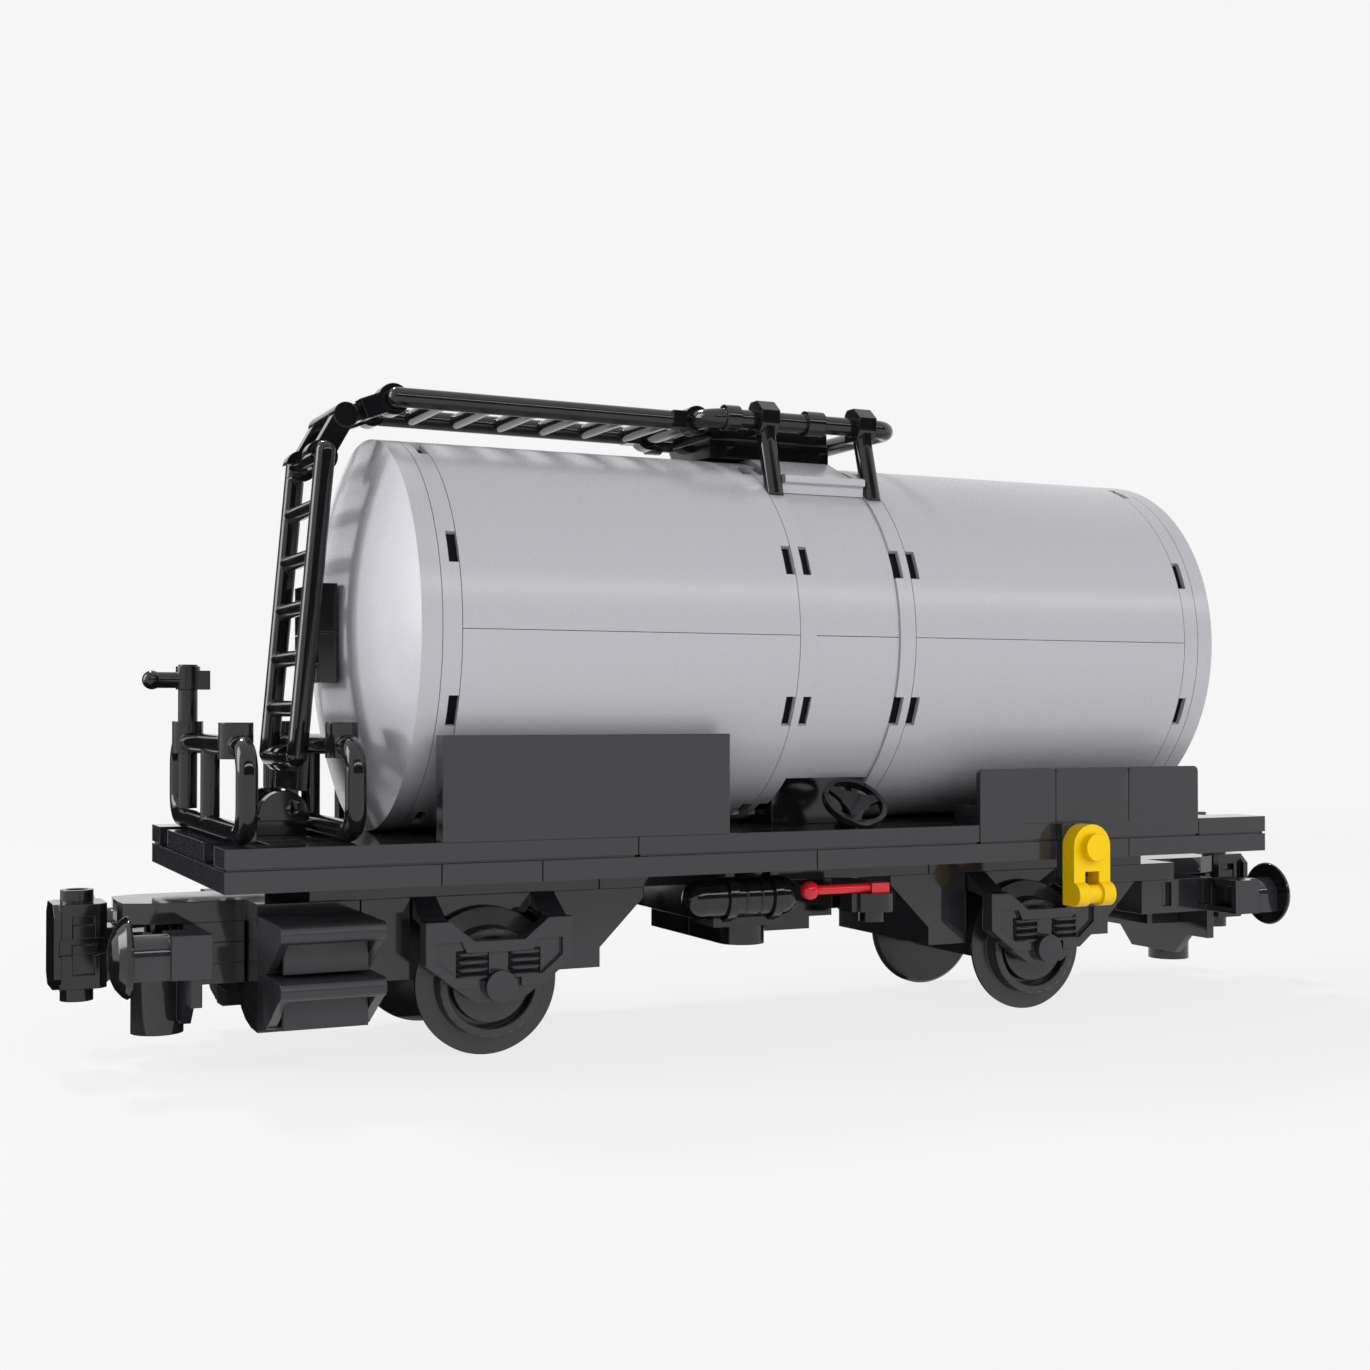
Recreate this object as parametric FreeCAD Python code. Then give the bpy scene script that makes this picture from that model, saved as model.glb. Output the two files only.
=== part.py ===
"""Railway tank car on two single axles, as a brick-built toy.

Every piece is drawn from the front edge of the deck: X runs along the wagon
from that edge, Y across it from the centre line and Z up from the top of the
deck.  placed() then moves a piece to the wagon's own origin, on the rail half
way along the deck.
"""
import FreeCAD, Part
import math
import os

from FreeCAD import Vector as V

os.makedirs("parts", exist_ok=True)

# ---- building system ------------------------------------------------------
PITCH = 8.0            # stud to stud
PLATE = 3.2            # height of one plate
GAP = 0.1              # a piece stops this far inside its grid line
WALL = 1.4             # wall of a hollow plate
ROOF = 1.0             # closed top of a hollow plate
GROOVE = 0.35          # lift groove round the foot of a tile
SEAM = 0.04            # plates stacked in one node stop this far apart
STUD_R = 2.4
STUD_H = 1.7
TUBE_WALL = 0.8
BAR_R = 1.6            # round bars of rails, posts and ladder sides
BAR_FIT = 0.06         # room between a bar and the piece that grips it
CLIP_WALL = 1.2        # wall of a clip round a bar

# ---- deck -----------------------------------------------------------------
DECK_STUDS = 24        # length of the deck
DECK_WIDE = 8          # width of the deck, which is also the tank's diameter
SILL_WIDE = 4          # width of the sill under it
EDGE_SEAMS = (8, 16, 22)           # seams in studs from the front edge
PLATE_SEAMS = (4, 6, 12, 18, 20)
SILL_SEAMS = (8, 16)
CENTRE_TILE = 4        # studs along one middle tile

# ---- running gear ---------------------------------------------------------
AXLE_IN = 44.0         # axle from the deck's end
WHEEL_ROOM = 5.0       # flange to the underside of the deck
FLANGE_R = 11.7
TREAD_R = 8.8
FLANGE_T = 1.0
TREAD_W = 2.8
RIM_W = 1.3            # front face of the tyre
SILL_CLEAR = 0.4       # flange to the sill
WHEEL_SIDE = 0.8       # tyre to the side frame
FRAME_T = 3.0
FRAME_L = 24.0
AXLE_R = 1.5
AXLE_FIT = 0.06
SPRING_COILS = 4
BRACKET_REACH = 4 / 7  # bracket's share of the room between bearing and block

# ---- ends -----------------------------------------------------------------
NOSE_IN = 24.0         # nose plate's inner end
NOSE_OUT = 10.4        # its tip ahead of the deck
BUFFER_R = 6.0
BUFFER_OUT = 11.2      # length of a buffer stub
PIVOT_OUT = 4.0        # coupling pin ahead of the deck
PIVOT_R = 2.0
PIVOT_FIT = 0.06
COUPLER_OUT = 16.0     # middle of the coupling head ahead of the deck
COUPLER_TALL = 12.8

# ---- tank -----------------------------------------------------------------
TANK_FRONT = 32.0      # first ring from the deck's front edge
TANK_BACK = 16.0       # last ring from its rear edge
TANK_WALL = 2.4
SPLIT = 0.05           # half the seam between upper and lower shell
RING_W = 3.2
RING_BORE = 8.0
DISH_RIM = 3.2
DISH_RISE = 6.4
DISH_WALL = 2.0
BAND_W = 16.0
BAND_STEP = 0.4        # band lies this far inside the tank's skin
BAND_FOOT = 8.2        # lower edge of the band above the deck
SLOT_W = 1.7           # notches at the corners of the curved panels
SLOT_DEEP = 4.0
RING_GROOVE = 0.12      # chased line on each side of a ring
SLOT_ANGLES = ((18.3, 27.7), (62.3, 71.7))
SADDLE_H = 4.0

# ---- deck and roof fittings -----------------------------------------------
PANEL_T = 3.2
PANEL_ROOM = 1.1       # tall panel's top to the tank
LOW_ROOM = 1.25        # low panel's top to the tank
TALL_PANEL = 6         # studs
LOW_PANELS = 3
RAIL_HIGH = 16.0
RAIL_BEND = 4.0
RAIL_X = (4.0, 20.0)   # outer and inner railing
LADDER_HALF = 10.0     # ladder side from the centre line
RUNG_R = 1.3
RUNG_STEP = 8.0
HOOP_FRONT = 20.0      # guard hoop ahead of the tank's middle
HOOP_REAR = 16.5
HOOP_HALF = 16.0
HOOP_UP = 5.6          # its bar above the tank
HANDWHEEL_R = 5.6

# ---- underframe -----------------------------------------------------------
UNDER_L = 24.0
TANKLET_R = 3.2        # air reservoir
TANKLET_L = 21.0
TANKLET_OUT = 7.6      # its axis outside the sill
STRAP_FIT = 0.05

# ---- what follows from them -----------------------------------------------
TUBE_R = PITCH / math.sqrt(2) - STUD_R          # a tube touches four studs
DECK_L = DECK_STUDS * PITCH
DECK_HALF = DECK_WIDE * PITCH / 2
SILL_HALF = SILL_WIDE * PITCH / 2
MID = DECK_L / 2
SOLE = -3 * PLATE                               # underside of the sill plates
BEARER = -4 * PLATE                             # underside of the nose plates
AXLE_X = (AXLE_IN, DECK_L - AXLE_IN)
AXLE_Z = -2 * PLATE - WHEEL_ROOM - FLANGE_R
RAIL_TO_DECK = FLANGE_R - AXLE_Z
FLANGE_IN = SILL_HALF + SILL_CLEAR              # outward from the centre line
FLANGE_OUT = FLANGE_IN + FLANGE_T
TREAD_OUT = FLANGE_OUT + TREAD_W
FRAME_IN = TREAD_OUT + WHEEL_SIDE
FRAME_OUT = FRAME_IN + FRAME_T
BUFFER_Y = SILL_HALF + PITCH / 2
BUFFER_Z = -5 * PLATE
TANK_R = DECK_HALF
TANK_Z = TANK_R
TANK_TOP = 2 * TANK_R
TANK_REAR = DECK_L - TANK_BACK
TANK_MID = (TANK_FRONT + TANK_REAR) / 2
BAND_X = (TANK_MID - BAND_W / 2, TANK_MID + BAND_W / 2)
BAND_R = TANK_R - BAND_STEP
DOME_X = TANK_FRONT - DISH_RIM - DISH_RISE      # tip of the front dome
SLAB_TOP = TANK_TOP - SADDLE_H
HOOP_X = (TANK_MID - HOOP_FRONT, TANK_MID + HOOP_REAR)
HOOP_Z = TANK_TOP + HOOP_UP

PARTS = {}


def placed(shape):
    """Move a shape from the deck's front edge to the wagon's own origin."""
    moved = shape.copy()
    moved.translate(V(-MID, 0, RAIL_TO_DECK))
    return moved


def node(name, *shapes):
    solids = []
    for shape in shapes:
        solids.extend(shape.Solids)
    PARTS[name] = [placed(s) for s in solids]


def box(x0, x1, y0, y1, z0, z1):
    return Part.makeBox(x1 - x0, y1 - y0, z1 - z0, V(x0, y0, z0))


def rod(p, q, r):
    p, q = V(*p), V(*q)
    return Part.makeCylinder(r, (q - p).Length, p, q - p)


def across(x, z, y0, y1, r):
    """Round bar along Y."""
    return rod((x, y0, z), (x, y1, z), r)


def upright(x, y, z0, z1, r):
    return rod((x, y, z0), (x, y, z1), r)


def turned(profile, axis):
    """Solid of revolution about the origin; profile holds (radius, along)."""
    lift = {"x": lambda r, a: V(a, r, 0), "y": lambda r, a: V(r, a, 0)}[axis]
    spin = {"x": V(1, 0, 0), "y": V(0, 1, 0)}[axis]
    pts = [lift(r, a) for r, a in profile]
    return Part.Face(Part.makePolygon(pts + pts[:1])).revolve(V(0, 0, 0), spin, 360)


def ball_rod(p, q, r_ball, r_rod):
    """Round rod from p to q with a ball turned on its end at p."""
    p, q = V(*p), V(*q)
    length = (q - p).Length
    neck = math.sqrt(r_ball ** 2 - r_rod ** 2)
    profile = Part.Wire([Part.Arc(V(0, 0, -r_ball), V(r_ball, 0, 0), V(r_rod, 0, neck)).toShape(),
                         Part.makeLine(V(r_rod, 0, neck), V(r_rod, 0, length)),
                         Part.makeLine(V(r_rod, 0, length), V(0, 0, length)),
                         Part.makeLine(V(0, 0, length), V(0, 0, -r_ball))])
    whole = Part.Face(profile).revolve(V(0, 0, 0), V(0, 0, 1), 360)
    whole.Placement = FreeCAD.Placement(p, FreeCAD.Rotation(V(0, 0, 1), q - p))
    return whole


def capsule(p, q, r):
    """Round rod with a ball of its own radius at each end."""
    p, q = V(*p), V(*q)
    length = (q - p).Length
    bow = r * math.sqrt(0.5)
    profile = Part.Wire([Part.Arc(V(0, 0, -r), V(bow, 0, -bow), V(r, 0, 0)).toShape(),
                         Part.makeLine(V(r, 0, 0), V(r, 0, length)),
                         Part.Arc(V(r, 0, length), V(bow, 0, length + bow), V(0, 0, length + r)).toShape(),
                         Part.makeLine(V(0, 0, length + r), V(0, 0, -r))])
    whole = Part.Face(profile).revolve(V(0, 0, 0), V(0, 0, 1), 360)
    whole.Placement = FreeCAD.Placement(p, FreeCAD.Rotation(V(0, 0, 1), q - p))
    return whole


def prism(points, axis, a, b):
    """Outline in the plane across `axis`, pushed from a to b along it."""
    place = {"x": lambda u, v: V(a, u, v),
             "y": lambda u, v: V(u, a, v),
             "z": lambda u, v: V(u, v, a)}[axis]
    push = {"x": V(b - a, 0, 0), "y": V(0, b - a, 0), "z": V(0, 0, b - a)}[axis]
    pts = [place(u, v) for u, v in points]
    return Part.Face(Part.makePolygon(pts + pts[:1])).extrude(push)


def fuse(first, *rest):
    """Join shapes, merging faces that lie in one surface where that holds."""
    whole = first.fuse(list(rest)) if rest else first
    merged = whole.removeSplitter()
    same = abs(merged.Volume - whole.Volume) < 1e-4 * abs(whole.Volume)
    return merged if same and merged.isValid() else whole


def half_turn(shape):
    """The same piece at the other end, turned about the middle of the deck."""
    copy = shape.copy()
    copy.rotate(V(MID, 0, 0), V(0, 0, 1), 180)
    return copy


def mirror_y(shape):
    return shape.mirror(V(0, 0, 0), V(0, 1, 0))


def between(side, a, b):
    """Y range from a to b on one side of the wagon, lower value first."""
    return sorted((side * a, side * b))


def runs(first, seams, last):
    """Neighbouring pairs along the deck, from first to last, cut at the seams."""
    cuts = [first] + [s * PITCH for s in seams if first < s * PITCH < last] + [last]
    return list(zip(cuts, cuts[1:]))


def bent_bar(points, r, bend):
    """Closed loop of round bar through the points, its corners rounded to `bend`."""
    pts = [V(*p) for p in points]
    n = len(pts)
    starts, ends, edges = {}, {}, []
    for i in range(n):
        a = (pts[i - 1] - pts[i]).normalize()
        b = (pts[(i + 1) % n] - pts[i]).normalize()
        half = a.getAngle(b) / 2
        starts[i], ends[i] = pts[i] + a * bend / math.tan(half), pts[i] + b * bend / math.tan(half)
        top = pts[i] + (a + b).normalize() * (bend / math.sin(half) - bend)
        edges.append(Part.Arc(starts[i], top, ends[i]).toShape())
        edges.append((ends[i], (i + 1) % n))
    edges = [e if isinstance(e, Part.Shape) else Part.makeLine(e[0], starts[e[1]]) for e in edges]
    first = edges[0]
    ring = Part.Wire(Part.makeCircle(r, first.valueAt(first.FirstParameter),
                                     first.tangentAt(first.FirstParameter)))
    return Part.Wire(edges).makePipeShell([ring], True, False)


def bar_room(x, z, r, mouth):
    """Cutters that let a piece clip round a bar along Y, open towards `mouth` degrees up from +X."""
    slot = box(0, r + CLIP_WALL + 2, -DECK_HALF, DECK_HALF, -0.75 * r, 0.75 * r)
    slot.rotate(V(0, 0, 0), V(0, 1, 0), -mouth)
    slot.translate(V(x, 0, z))
    return [across(x, z, -DECK_HALF, DECK_HALF, r + BAR_FIT), slot]


def jaw(x, z, y0, y1, r, wall=CLIP_WALL):
    """Round block that bar_room() turns into a clip."""
    return across(x, z, y0, y1, r + BAR_FIT + wall)


def arm(p, q, half, y0, y1):
    """Flat bar from p to q, both (x, z), `half` wide to each side."""
    p, q = V(p[0], 0, p[1]), V(q[0], 0, q[1])
    d = (q - p).normalize()
    side = V(-d.z, 0, d.x) * half
    return prism([(v.x, v.z) for v in (p + side, q + side, q - side, p - side)], "y", y0, y1)


def tile(x0, x1, y0, y1, top, high=PLATE):
    """Smooth-topped tile with the thin groove round its foot."""
    x0, x1, y0, y1 = x0 + GAP, x1 - GAP, y0 + GAP, y1 - GAP
    body = box(x0, x1, y0, y1, top - high + GROOVE, top)
    foot = box(x0 + GROOVE, x1 - GROOVE, y0 + GROOVE, y1 - GROOVE, top - high, top - high + GROOVE)
    return fuse(body, foot)


def plate(x0, x1, y0, y1, top, high=PLATE):
    return box(x0 + GAP, x1 - GAP, y0 + GAP, y1 - GAP, top - high, top)


# ---- deck -----------------------------------------------------------------
def deck():
    edge = []
    for x0, x1 in runs(0, EDGE_SEAMS, DECK_L):
        near = tile(x0, x1, -DECK_HALF, PITCH - DECK_HALF, 0)
        edge += [near, half_turn(near)]
    node("deck_edge_tiles", *edge)

    steps_ = [CENTRE_TILE * k for k in range(1, int(DECK_STUDS / CENTRE_TILE) + 1)]
    centre = [tile(x0, x1, -SILL_HALF, SILL_HALF, 0) for x0, x1 in runs(0, steps_, DECK_L)]
    quarter = (DECK_L - 2 * PITCH) / 4
    for side in (-1, 1):
        y0, y1 = between(side, SILL_HALF, DECK_HALF - PITCH)
        centre += [tile(PITCH + quarter * k, PITCH + quarter * (k + 1), y0, y1, 0) for k in range(4)]
    node("deck_centre_tiles", *centre)

    rows = []
    y = SILL_HALF + PITCH
    while y + TUBE_R < DECK_HALF - WALL:
        rows += [y, -y]
        y += PITCH
    tube_z = (-2 * PLATE, -PLATE - ROOF)
    plates = []
    for x0, x1 in runs(0, PLATE_SEAMS, DECK_L):
        slab = plate(x0, x1, -DECK_HALF, DECK_HALF, -PLATE)
        hollows, tubes = [], []
        for side in (-1, 1):
            y0, y1 = between(side, SILL_HALF + WALL, DECK_HALF - GAP - WALL)
            hollows.append(box(x0 + GAP + WALL, x1 - GAP - WALL, y0, y1, *tube_z))
        for k in range(1, int((x1 - x0) / PITCH + 0.5)):
            for y in rows:
                x = x0 + k * PITCH
                tubes.append(upright(x, y, *tube_z, TUBE_R).cut(upright(x, y, *tube_z, TUBE_R - TUBE_WALL)))
        slab = fuse(slab.cut(hollows), *tubes)
        for end, x in ((0, PITCH / 2), (DECK_L, DECK_L - PITCH / 2)):
            if end in (x0, x1):
                y = (SILL_HALF + DECK_HALF - PITCH) / 2
                slab = fuse(slab, *[upright(x, s * y, -PLATE, STUD_H - PLATE, STUD_R) for s in (-1, 1)])
        plates.append(slab)
    node("deck_plates", *plates)

    node("sill_plates", *[plate(x0, x1, -SILL_HALF, SILL_HALF, -2 * PLATE)
                          for x0, x1 in runs(2 * PITCH, SILL_SEAMS, DECK_L - 2 * PITCH)])


def sill_brackets():
    """Inverted slopes that carry the sill down on both sides of each bearing."""
    half = SILL_HALF - GAP
    lip = SOLE - 1.6
    start = AXLE_IN + FRAME_L / 2 + GAP
    reach = (MID - UNDER_L / 2 - start) * BRACKET_REACH
    inner = prism(((start, SOLE), (start + reach, SOLE), (start + reach, lip),
                   (start + reach / 2, -6 * PLATE), (start + reach / 2, -7 * PLATE), (start, -7 * PLATE)),
                  "y", -half, half)
    stop, tip = AXLE_IN - FRAME_L / 2 - GAP, 2 * PITCH
    outer = prism(((stop, SOLE), (tip, SOLE), (tip, lip), (tip + PITCH, -6 * PLATE),
                   (tip + PITCH, -7 * PLATE), (stop, -7 * PLATE)), "y", -half, half)
    outer = outer.cut(box(tip - 1, NOSE_IN + GAP, -half - 1, half + 1, BEARER, SOLE + 1))
    node("sill_brackets", inner, outer, half_turn(inner), half_turn(outer))


# ---- running gear ---------------------------------------------------------
def coil(x, y, z, half):
    """One turn of a coil spring seen from the side: a short bar rounded towards -Y."""
    section = ((0.9, -0.46), (0.2, -0.46), (-0.15, -0.2), (-0.15, 0.2), (0.2, 0.46), (0.9, 0.46))
    return prism([(y + v, z + w) for v, w in section], "x", x - half, x + half)


def side_frame():
    """Side frame about its axle, outer face towards -Y: a raised rim on a sunk plate, with coil springs."""
    a, top, foot = FRAME_L / 2, BEARER, AXLE_Z
    face, sunk = -FRAME_OUT, 0.8 - FRAME_OUT
    upper = ((-a, top), (3.9 - a, top), (-4.1, foot + 7.1), (4.1, foot + 7.1), (a - 3.9, top), (a, top))
    hub = ((3.6, foot - 2.5), (-3.6, foot - 2.5))
    rim = [(a, 3.7), (a - 4.8, -0.1), (3.5, -0.2), (3.5, 1.6), (a - 5.0, 1.6), (a - 1.6, 4.4),
           (a - 1.6, 7.1), (6.2, 7.1), (5.4, 5.3)]
    right = [(u, foot + v) for u, v in rim]
    left = [(-u, w) for u, w in reversed(right)]
    plate_ = prism(list(upper) + right[:2] + list(hub) + left[-2:], "y", sunk, -FRAME_IN)
    rails = prism(list(upper) + right + left, "y", face, sunk)
    frame = fuse(plate_, rails)
    for side in (-1, 1):
        x0, x1 = sorted((side * 1.6, side * 6.9))
        frame = frame.cut(box(x0, x1, sunk - 0.01, sunk + 0.8, foot + 1.0, foot + 5.6))
        frame = frame.fuse([coil((x0 + x1) / 2, sunk, foot + 5.1 - 1.2 * k, 2.45)
                            for k in range(SPRING_COILS)])
    return fuse(frame, across(0, foot, face - 0.9, sunk + 0.5, 2.5))


def wheel():
    """Flanged wheel about the Y axis: flange inboard, stepped tyre and sunk hub outboard."""
    rim = TREAD_R - RIM_W
    profile = ((0, FLANGE_IN), (FLANGE_R - 0.5, FLANGE_IN), (FLANGE_R, FLANGE_IN + 0.5),
               (FLANGE_R, FLANGE_OUT), (TREAD_R, FLANGE_OUT + 0.3), (TREAD_R - 0.3, TREAD_OUT),
               (rim, TREAD_OUT), (rim, TREAD_OUT - 2.4), (rim - 1.1, TREAD_OUT - 2.4),
               (rim - 1.2, TREAD_OUT - 0.5), (0.4 * rim, TREAD_OUT - 0.5), (0.4 * rim, TREAD_OUT - 1.0),
               (0, TREAD_OUT - 1.0))
    disc = turned(profile, "y")
    return disc.cut(across(0, 0, -FRAME_OUT, FRAME_OUT, AXLE_R))


def running_gear():
    """Bearing block with its two side frames, and the wheels on their steel axle."""
    a, half = FRAME_L / 2, SILL_HALF - GAP
    near = side_frame()
    block = prism(((1.8 - a, SOLE), (a - 1.8, SOLE), (a - 5.1, BEARER), (5.1 - a, BEARER)), "y", -half, half)
    carrier = box(-4.0, 4.0, 2.0 - SILL_HALF, SILL_HALF - 2.0, AXLE_Z - AXLE_R - 1.9, BEARER)
    well = [across(0, AXLE_Z, *between(s, FLANGE_IN - 0.4, FRAME_IN), FLANGE_R + 0.6) for s in (-1, 1)]
    struts = []
    for end in (-1, 1):
        for side in (-1, 1):
            slope = [(side * y, z) for y, z in ((half - 2, SOLE), (half, SOLE), (FRAME_IN + 0.4, BEARER),
                                                (FRAME_IN + 0.4, BEARER - 0.8), (half - 2, BEARER + 0.4))]
            struts.append(prism(slope, "x", *between(end, a - 4.1, a - GAP)).cut(well))
    frame = fuse(near, mirror_y(near), block, carrier, *struts)
    frame = frame.cut(across(0, AXLE_Z, -SILL_HALF, SILL_HALF, AXLE_R + AXLE_FIT))
    for end, x in zip(("front", "rear"), AXLE_X):
        bearing = frame.copy()
        bearing.translate(V(x, 0, 0))
        node("axle_frame_" + end, bearing)
        pair = [wheel(), mirror_y(wheel())]
        for w in pair:
            w.translate(V(x, 0, AXLE_Z))
        node("wheels_" + end, *pair)
        node("axle_" + end, across(x, AXLE_Z, 1.0 - TREAD_OUT, TREAD_OUT - 1.0, AXLE_R))


# ---- ends, drawn at the front and turned for the rear ---------------------
def nose_plate():
    half, wide = PITCH, SILL_HALF - GAP
    right = ((NOSE_IN - GAP, wide), (PITCH, wide), (PITCH, half), (4.9 - NOSE_OUT, half),
             (0.3 - NOSE_OUT, half - 2), (-NOSE_OUT, 2.3))
    outline = [(x, -y) for x, y in right] + [(x, y) for x, y in reversed(right)]
    return prism(outline, "z", BEARER, SOLE)


def buffer_beam(arms):
    """Apron plate, the two buffer stubs, the coupling pin and, at one end, arms reaching back."""
    low = BEARER - 11.8
    shapes = [box(-1.6, 0, -SILL_HALF, SILL_HALF, low, BEARER),
              prism(((-10.2, low), (-6.5, low - 3.8), (6.5, low - 3.8), (10.2, low)), "x", -1.6, 0)]
    z0, z1 = -6 * PLATE, BEARER
    for side in (-1, 1):
        y0, y1 = between(side, SILL_HALF, SILL_HALF + PITCH)
        block = box(-5.8, 0, y0, y1, z0, z1)
        shapes.append(block.cut(box(-3.6, 1, y0 + 1.2, y1 - 1.2, z0 + 1.2, z1 - 1.2)))
        yc, half = side * BUFFER_Y, PITCH * 0.4
        arch = Part.Arc(V(-BUFFER_OUT, yc - half, BUFFER_Z), V(-BUFFER_OUT, yc, BUFFER_Z + half),
                        V(-BUFFER_OUT, yc + half, BUFFER_Z)).toShape()
        foot = Part.makePolygon([V(-BUFFER_OUT, yc + half, BUFFER_Z), V(-BUFFER_OUT, yc + half, z0),
                                 V(-BUFFER_OUT, yc - half, z0), V(-BUFFER_OUT, yc - half, BUFFER_Z)])
        shapes.append(Part.Face(Part.Wire([arch] + foot.Edges)).extrude(V(BUFFER_OUT - 5.8, 0, 0)))
        if arms:
            a0, a1 = between(side, PITCH + GAP, SILL_HALF - GAP)
            face = side * (SILL_HALF - GAP)
            arm_ = box(0, 2 * PITCH - GAP, a0, a1, z0, z1)
            shapes.append(arm_.cut([box(x, x + 2.2, face - 0.9, face + 0.9, z0 + 1.3, z1 - 0.5)
                                    for x in (0, 8.7)]))
    room = upright(-PIVOT_OUT, 0, BUFFER_Z - 2.8, BEARER + 0.01, PIVOT_R + 2.5)
    beam = fuse(*shapes).cut(room)
    pin = upright(-PIVOT_OUT, 0, BUFFER_Z - 4.8, BEARER, PIVOT_R)
    post = upright(-PIVOT_OUT, 0, BUFFER_Z - 14.4, BUFFER_Z - 2.0, PITCH / 2)
    return fuse(beam, pin, post)


def buffer_disc(side):
    """Domed buffer face on the front of its stub."""
    profile = ((0, -3.0), (0.25 * BUFFER_R, -2.93), (0.5 * BUFFER_R, -2.6), (0.75 * BUFFER_R, -1.9),
               (0.94 * BUFFER_R, -0.9), (BUFFER_R, -0.3), (0.97 * BUFFER_R, 0), (0, 0))
    disc = turned(profile, "x")
    disc.translate(V(-BUFFER_OUT, side * BUFFER_Y, BUFFER_Z))
    return disc


def coupling():
    """Swinging coupling: head with sunk sides, arm and the barrel that turns on the pin."""
    xc, zc, h = -COUPLER_OUT, BUFFER_Z, COUPLER_TALL / 2
    head = prism(((xc - 3, -4.6), (xc + 2.8, -4.6), (xc + 4, -3.4), (xc + 4, 3.4), (xc + 2.8, 4.6),
                  (xc - 3, 4.6)), "z", zc - h, zc + h)
    face = prism(((-5.6, zc - 4.6), (-5.6, zc + 4.6), (-3.6, zc + h), (3.6, zc + h),
                  (5.6, zc + 4.6), (5.6, zc - 4.6), (3.6, zc - h), (-3.6, zc - h)), "x", xc - 3.9, xc - 2.8)
    heel = prism(((xc + 3.9, zc + 2.6), (xc + 5.3, zc + 2.6), (xc + 5.3, zc - h + 1.8),
                  (xc + 3.9, zc - h + 0.6)), "y", -3.4, 3.4)
    pins = [upright(xc, 0, zc + h - 0.5, zc + h + 1.9, STUD_R + 0.05),
            upright(xc, 0, zc - h - 2.2, zc, STUD_R + 0.05)]
    bores = [upright(xc, 0, zc + h - 1.1, zc + h + 3, BAR_R),
             upright(xc, 0, zc - h - 3, zc - h + 1.1, BAR_R)]
    bar = box(xc + 3.6, -PIVOT_OUT, -2.6, 2.6, zc - 1.6, zc + 1.6)
    barrel = upright(-PIVOT_OUT, 0, zc - 1.6, zc + 1.6, PIVOT_OUT)
    body = fuse(head, face, heel, bar, barrel, *pins).cut(bores)
    for side in (-1, 1):
        y0, y1 = between(side, 3.7, 6)
        body = body.cut([box(xc - 1.1, xc + 2.1, y0, y1, zc - 4.3, zc + 4.5),
                         box(xc - 3.1, xc + 4.5, y0, y1, zc - 1.3, zc + 1.2)])
        y0, y1 = between(side, 3.6, 4.4)
        body = fuse(body, box(xc - 1.1, xc + 2.0, y0, y1, zc + 1.2, zc + 3.2),
                    box(xc - 1.1, xc + 2.6, y0, y1, zc - 1.1, zc + 0.2))
    return body.cut(upright(-PIVOT_OUT, 0, zc - 6, zc + 6, PIVOT_R + PIVOT_FIT))


def step_block(side):
    """Three plates and an arched foot, inboard of the steps on one side."""
    x0, x1 = PITCH + 2 * GAP, 2 * PITCH - GAP
    y0, y1 = between(side, PITCH + GAP, SILL_HALF - GAP)
    solids = [box(x0, x1, y0, y1, -(5 + k) * PLATE + SEAM, -(4 + k) * PLATE) for k in range(3)]
    top = -7 * PLATE
    arch = ((SILL_HALF - GAP, top), (SILL_HALF - GAP, top - 6.6), (11.0, top - 6.5), (7.0, top - 5.8),
            (4.0, top - 4.6), (1.8, top - 2.8), (0.5, top - 1.1), (GAP, top))
    foot = prism([(side * y, z) for y, z in arch], "x", x0, x1)
    lines = [box(x0 - 1, x0 + 0.3, *between(side, PITCH, PITCH + 0.12), top - 3.7, top + 1),
             box(x0 - 1, x0 + 0.3, *between(side, PITCH, SILL_HALF), top - 3.7, top - 3.58)]
    return solids + [foot.cut(lines)]


def ends():
    for end, turn in (("front", lambda s: s), ("rear", half_turn)):
        node("nose_plate_" + end, turn(nose_plate()))
        stack = [plate(0, PITCH, -PITCH, PITCH, -(4 + k) * PLATE, PLATE - SEAM) for k in range(3)]
        if end == "front":
            stack += step_block(-1) + step_block(1)
        node("nose_stack_" + end, *[turn(s) for s in stack])
        node("buffer_beam_" + end, turn(buffer_beam(arms=(end == "rear"))))
        node("buffer_discs_" + end, *[turn(buffer_disc(s)) for s in (-1, 1)])
        node("coupling_" + end, turn(coupling()))


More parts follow.
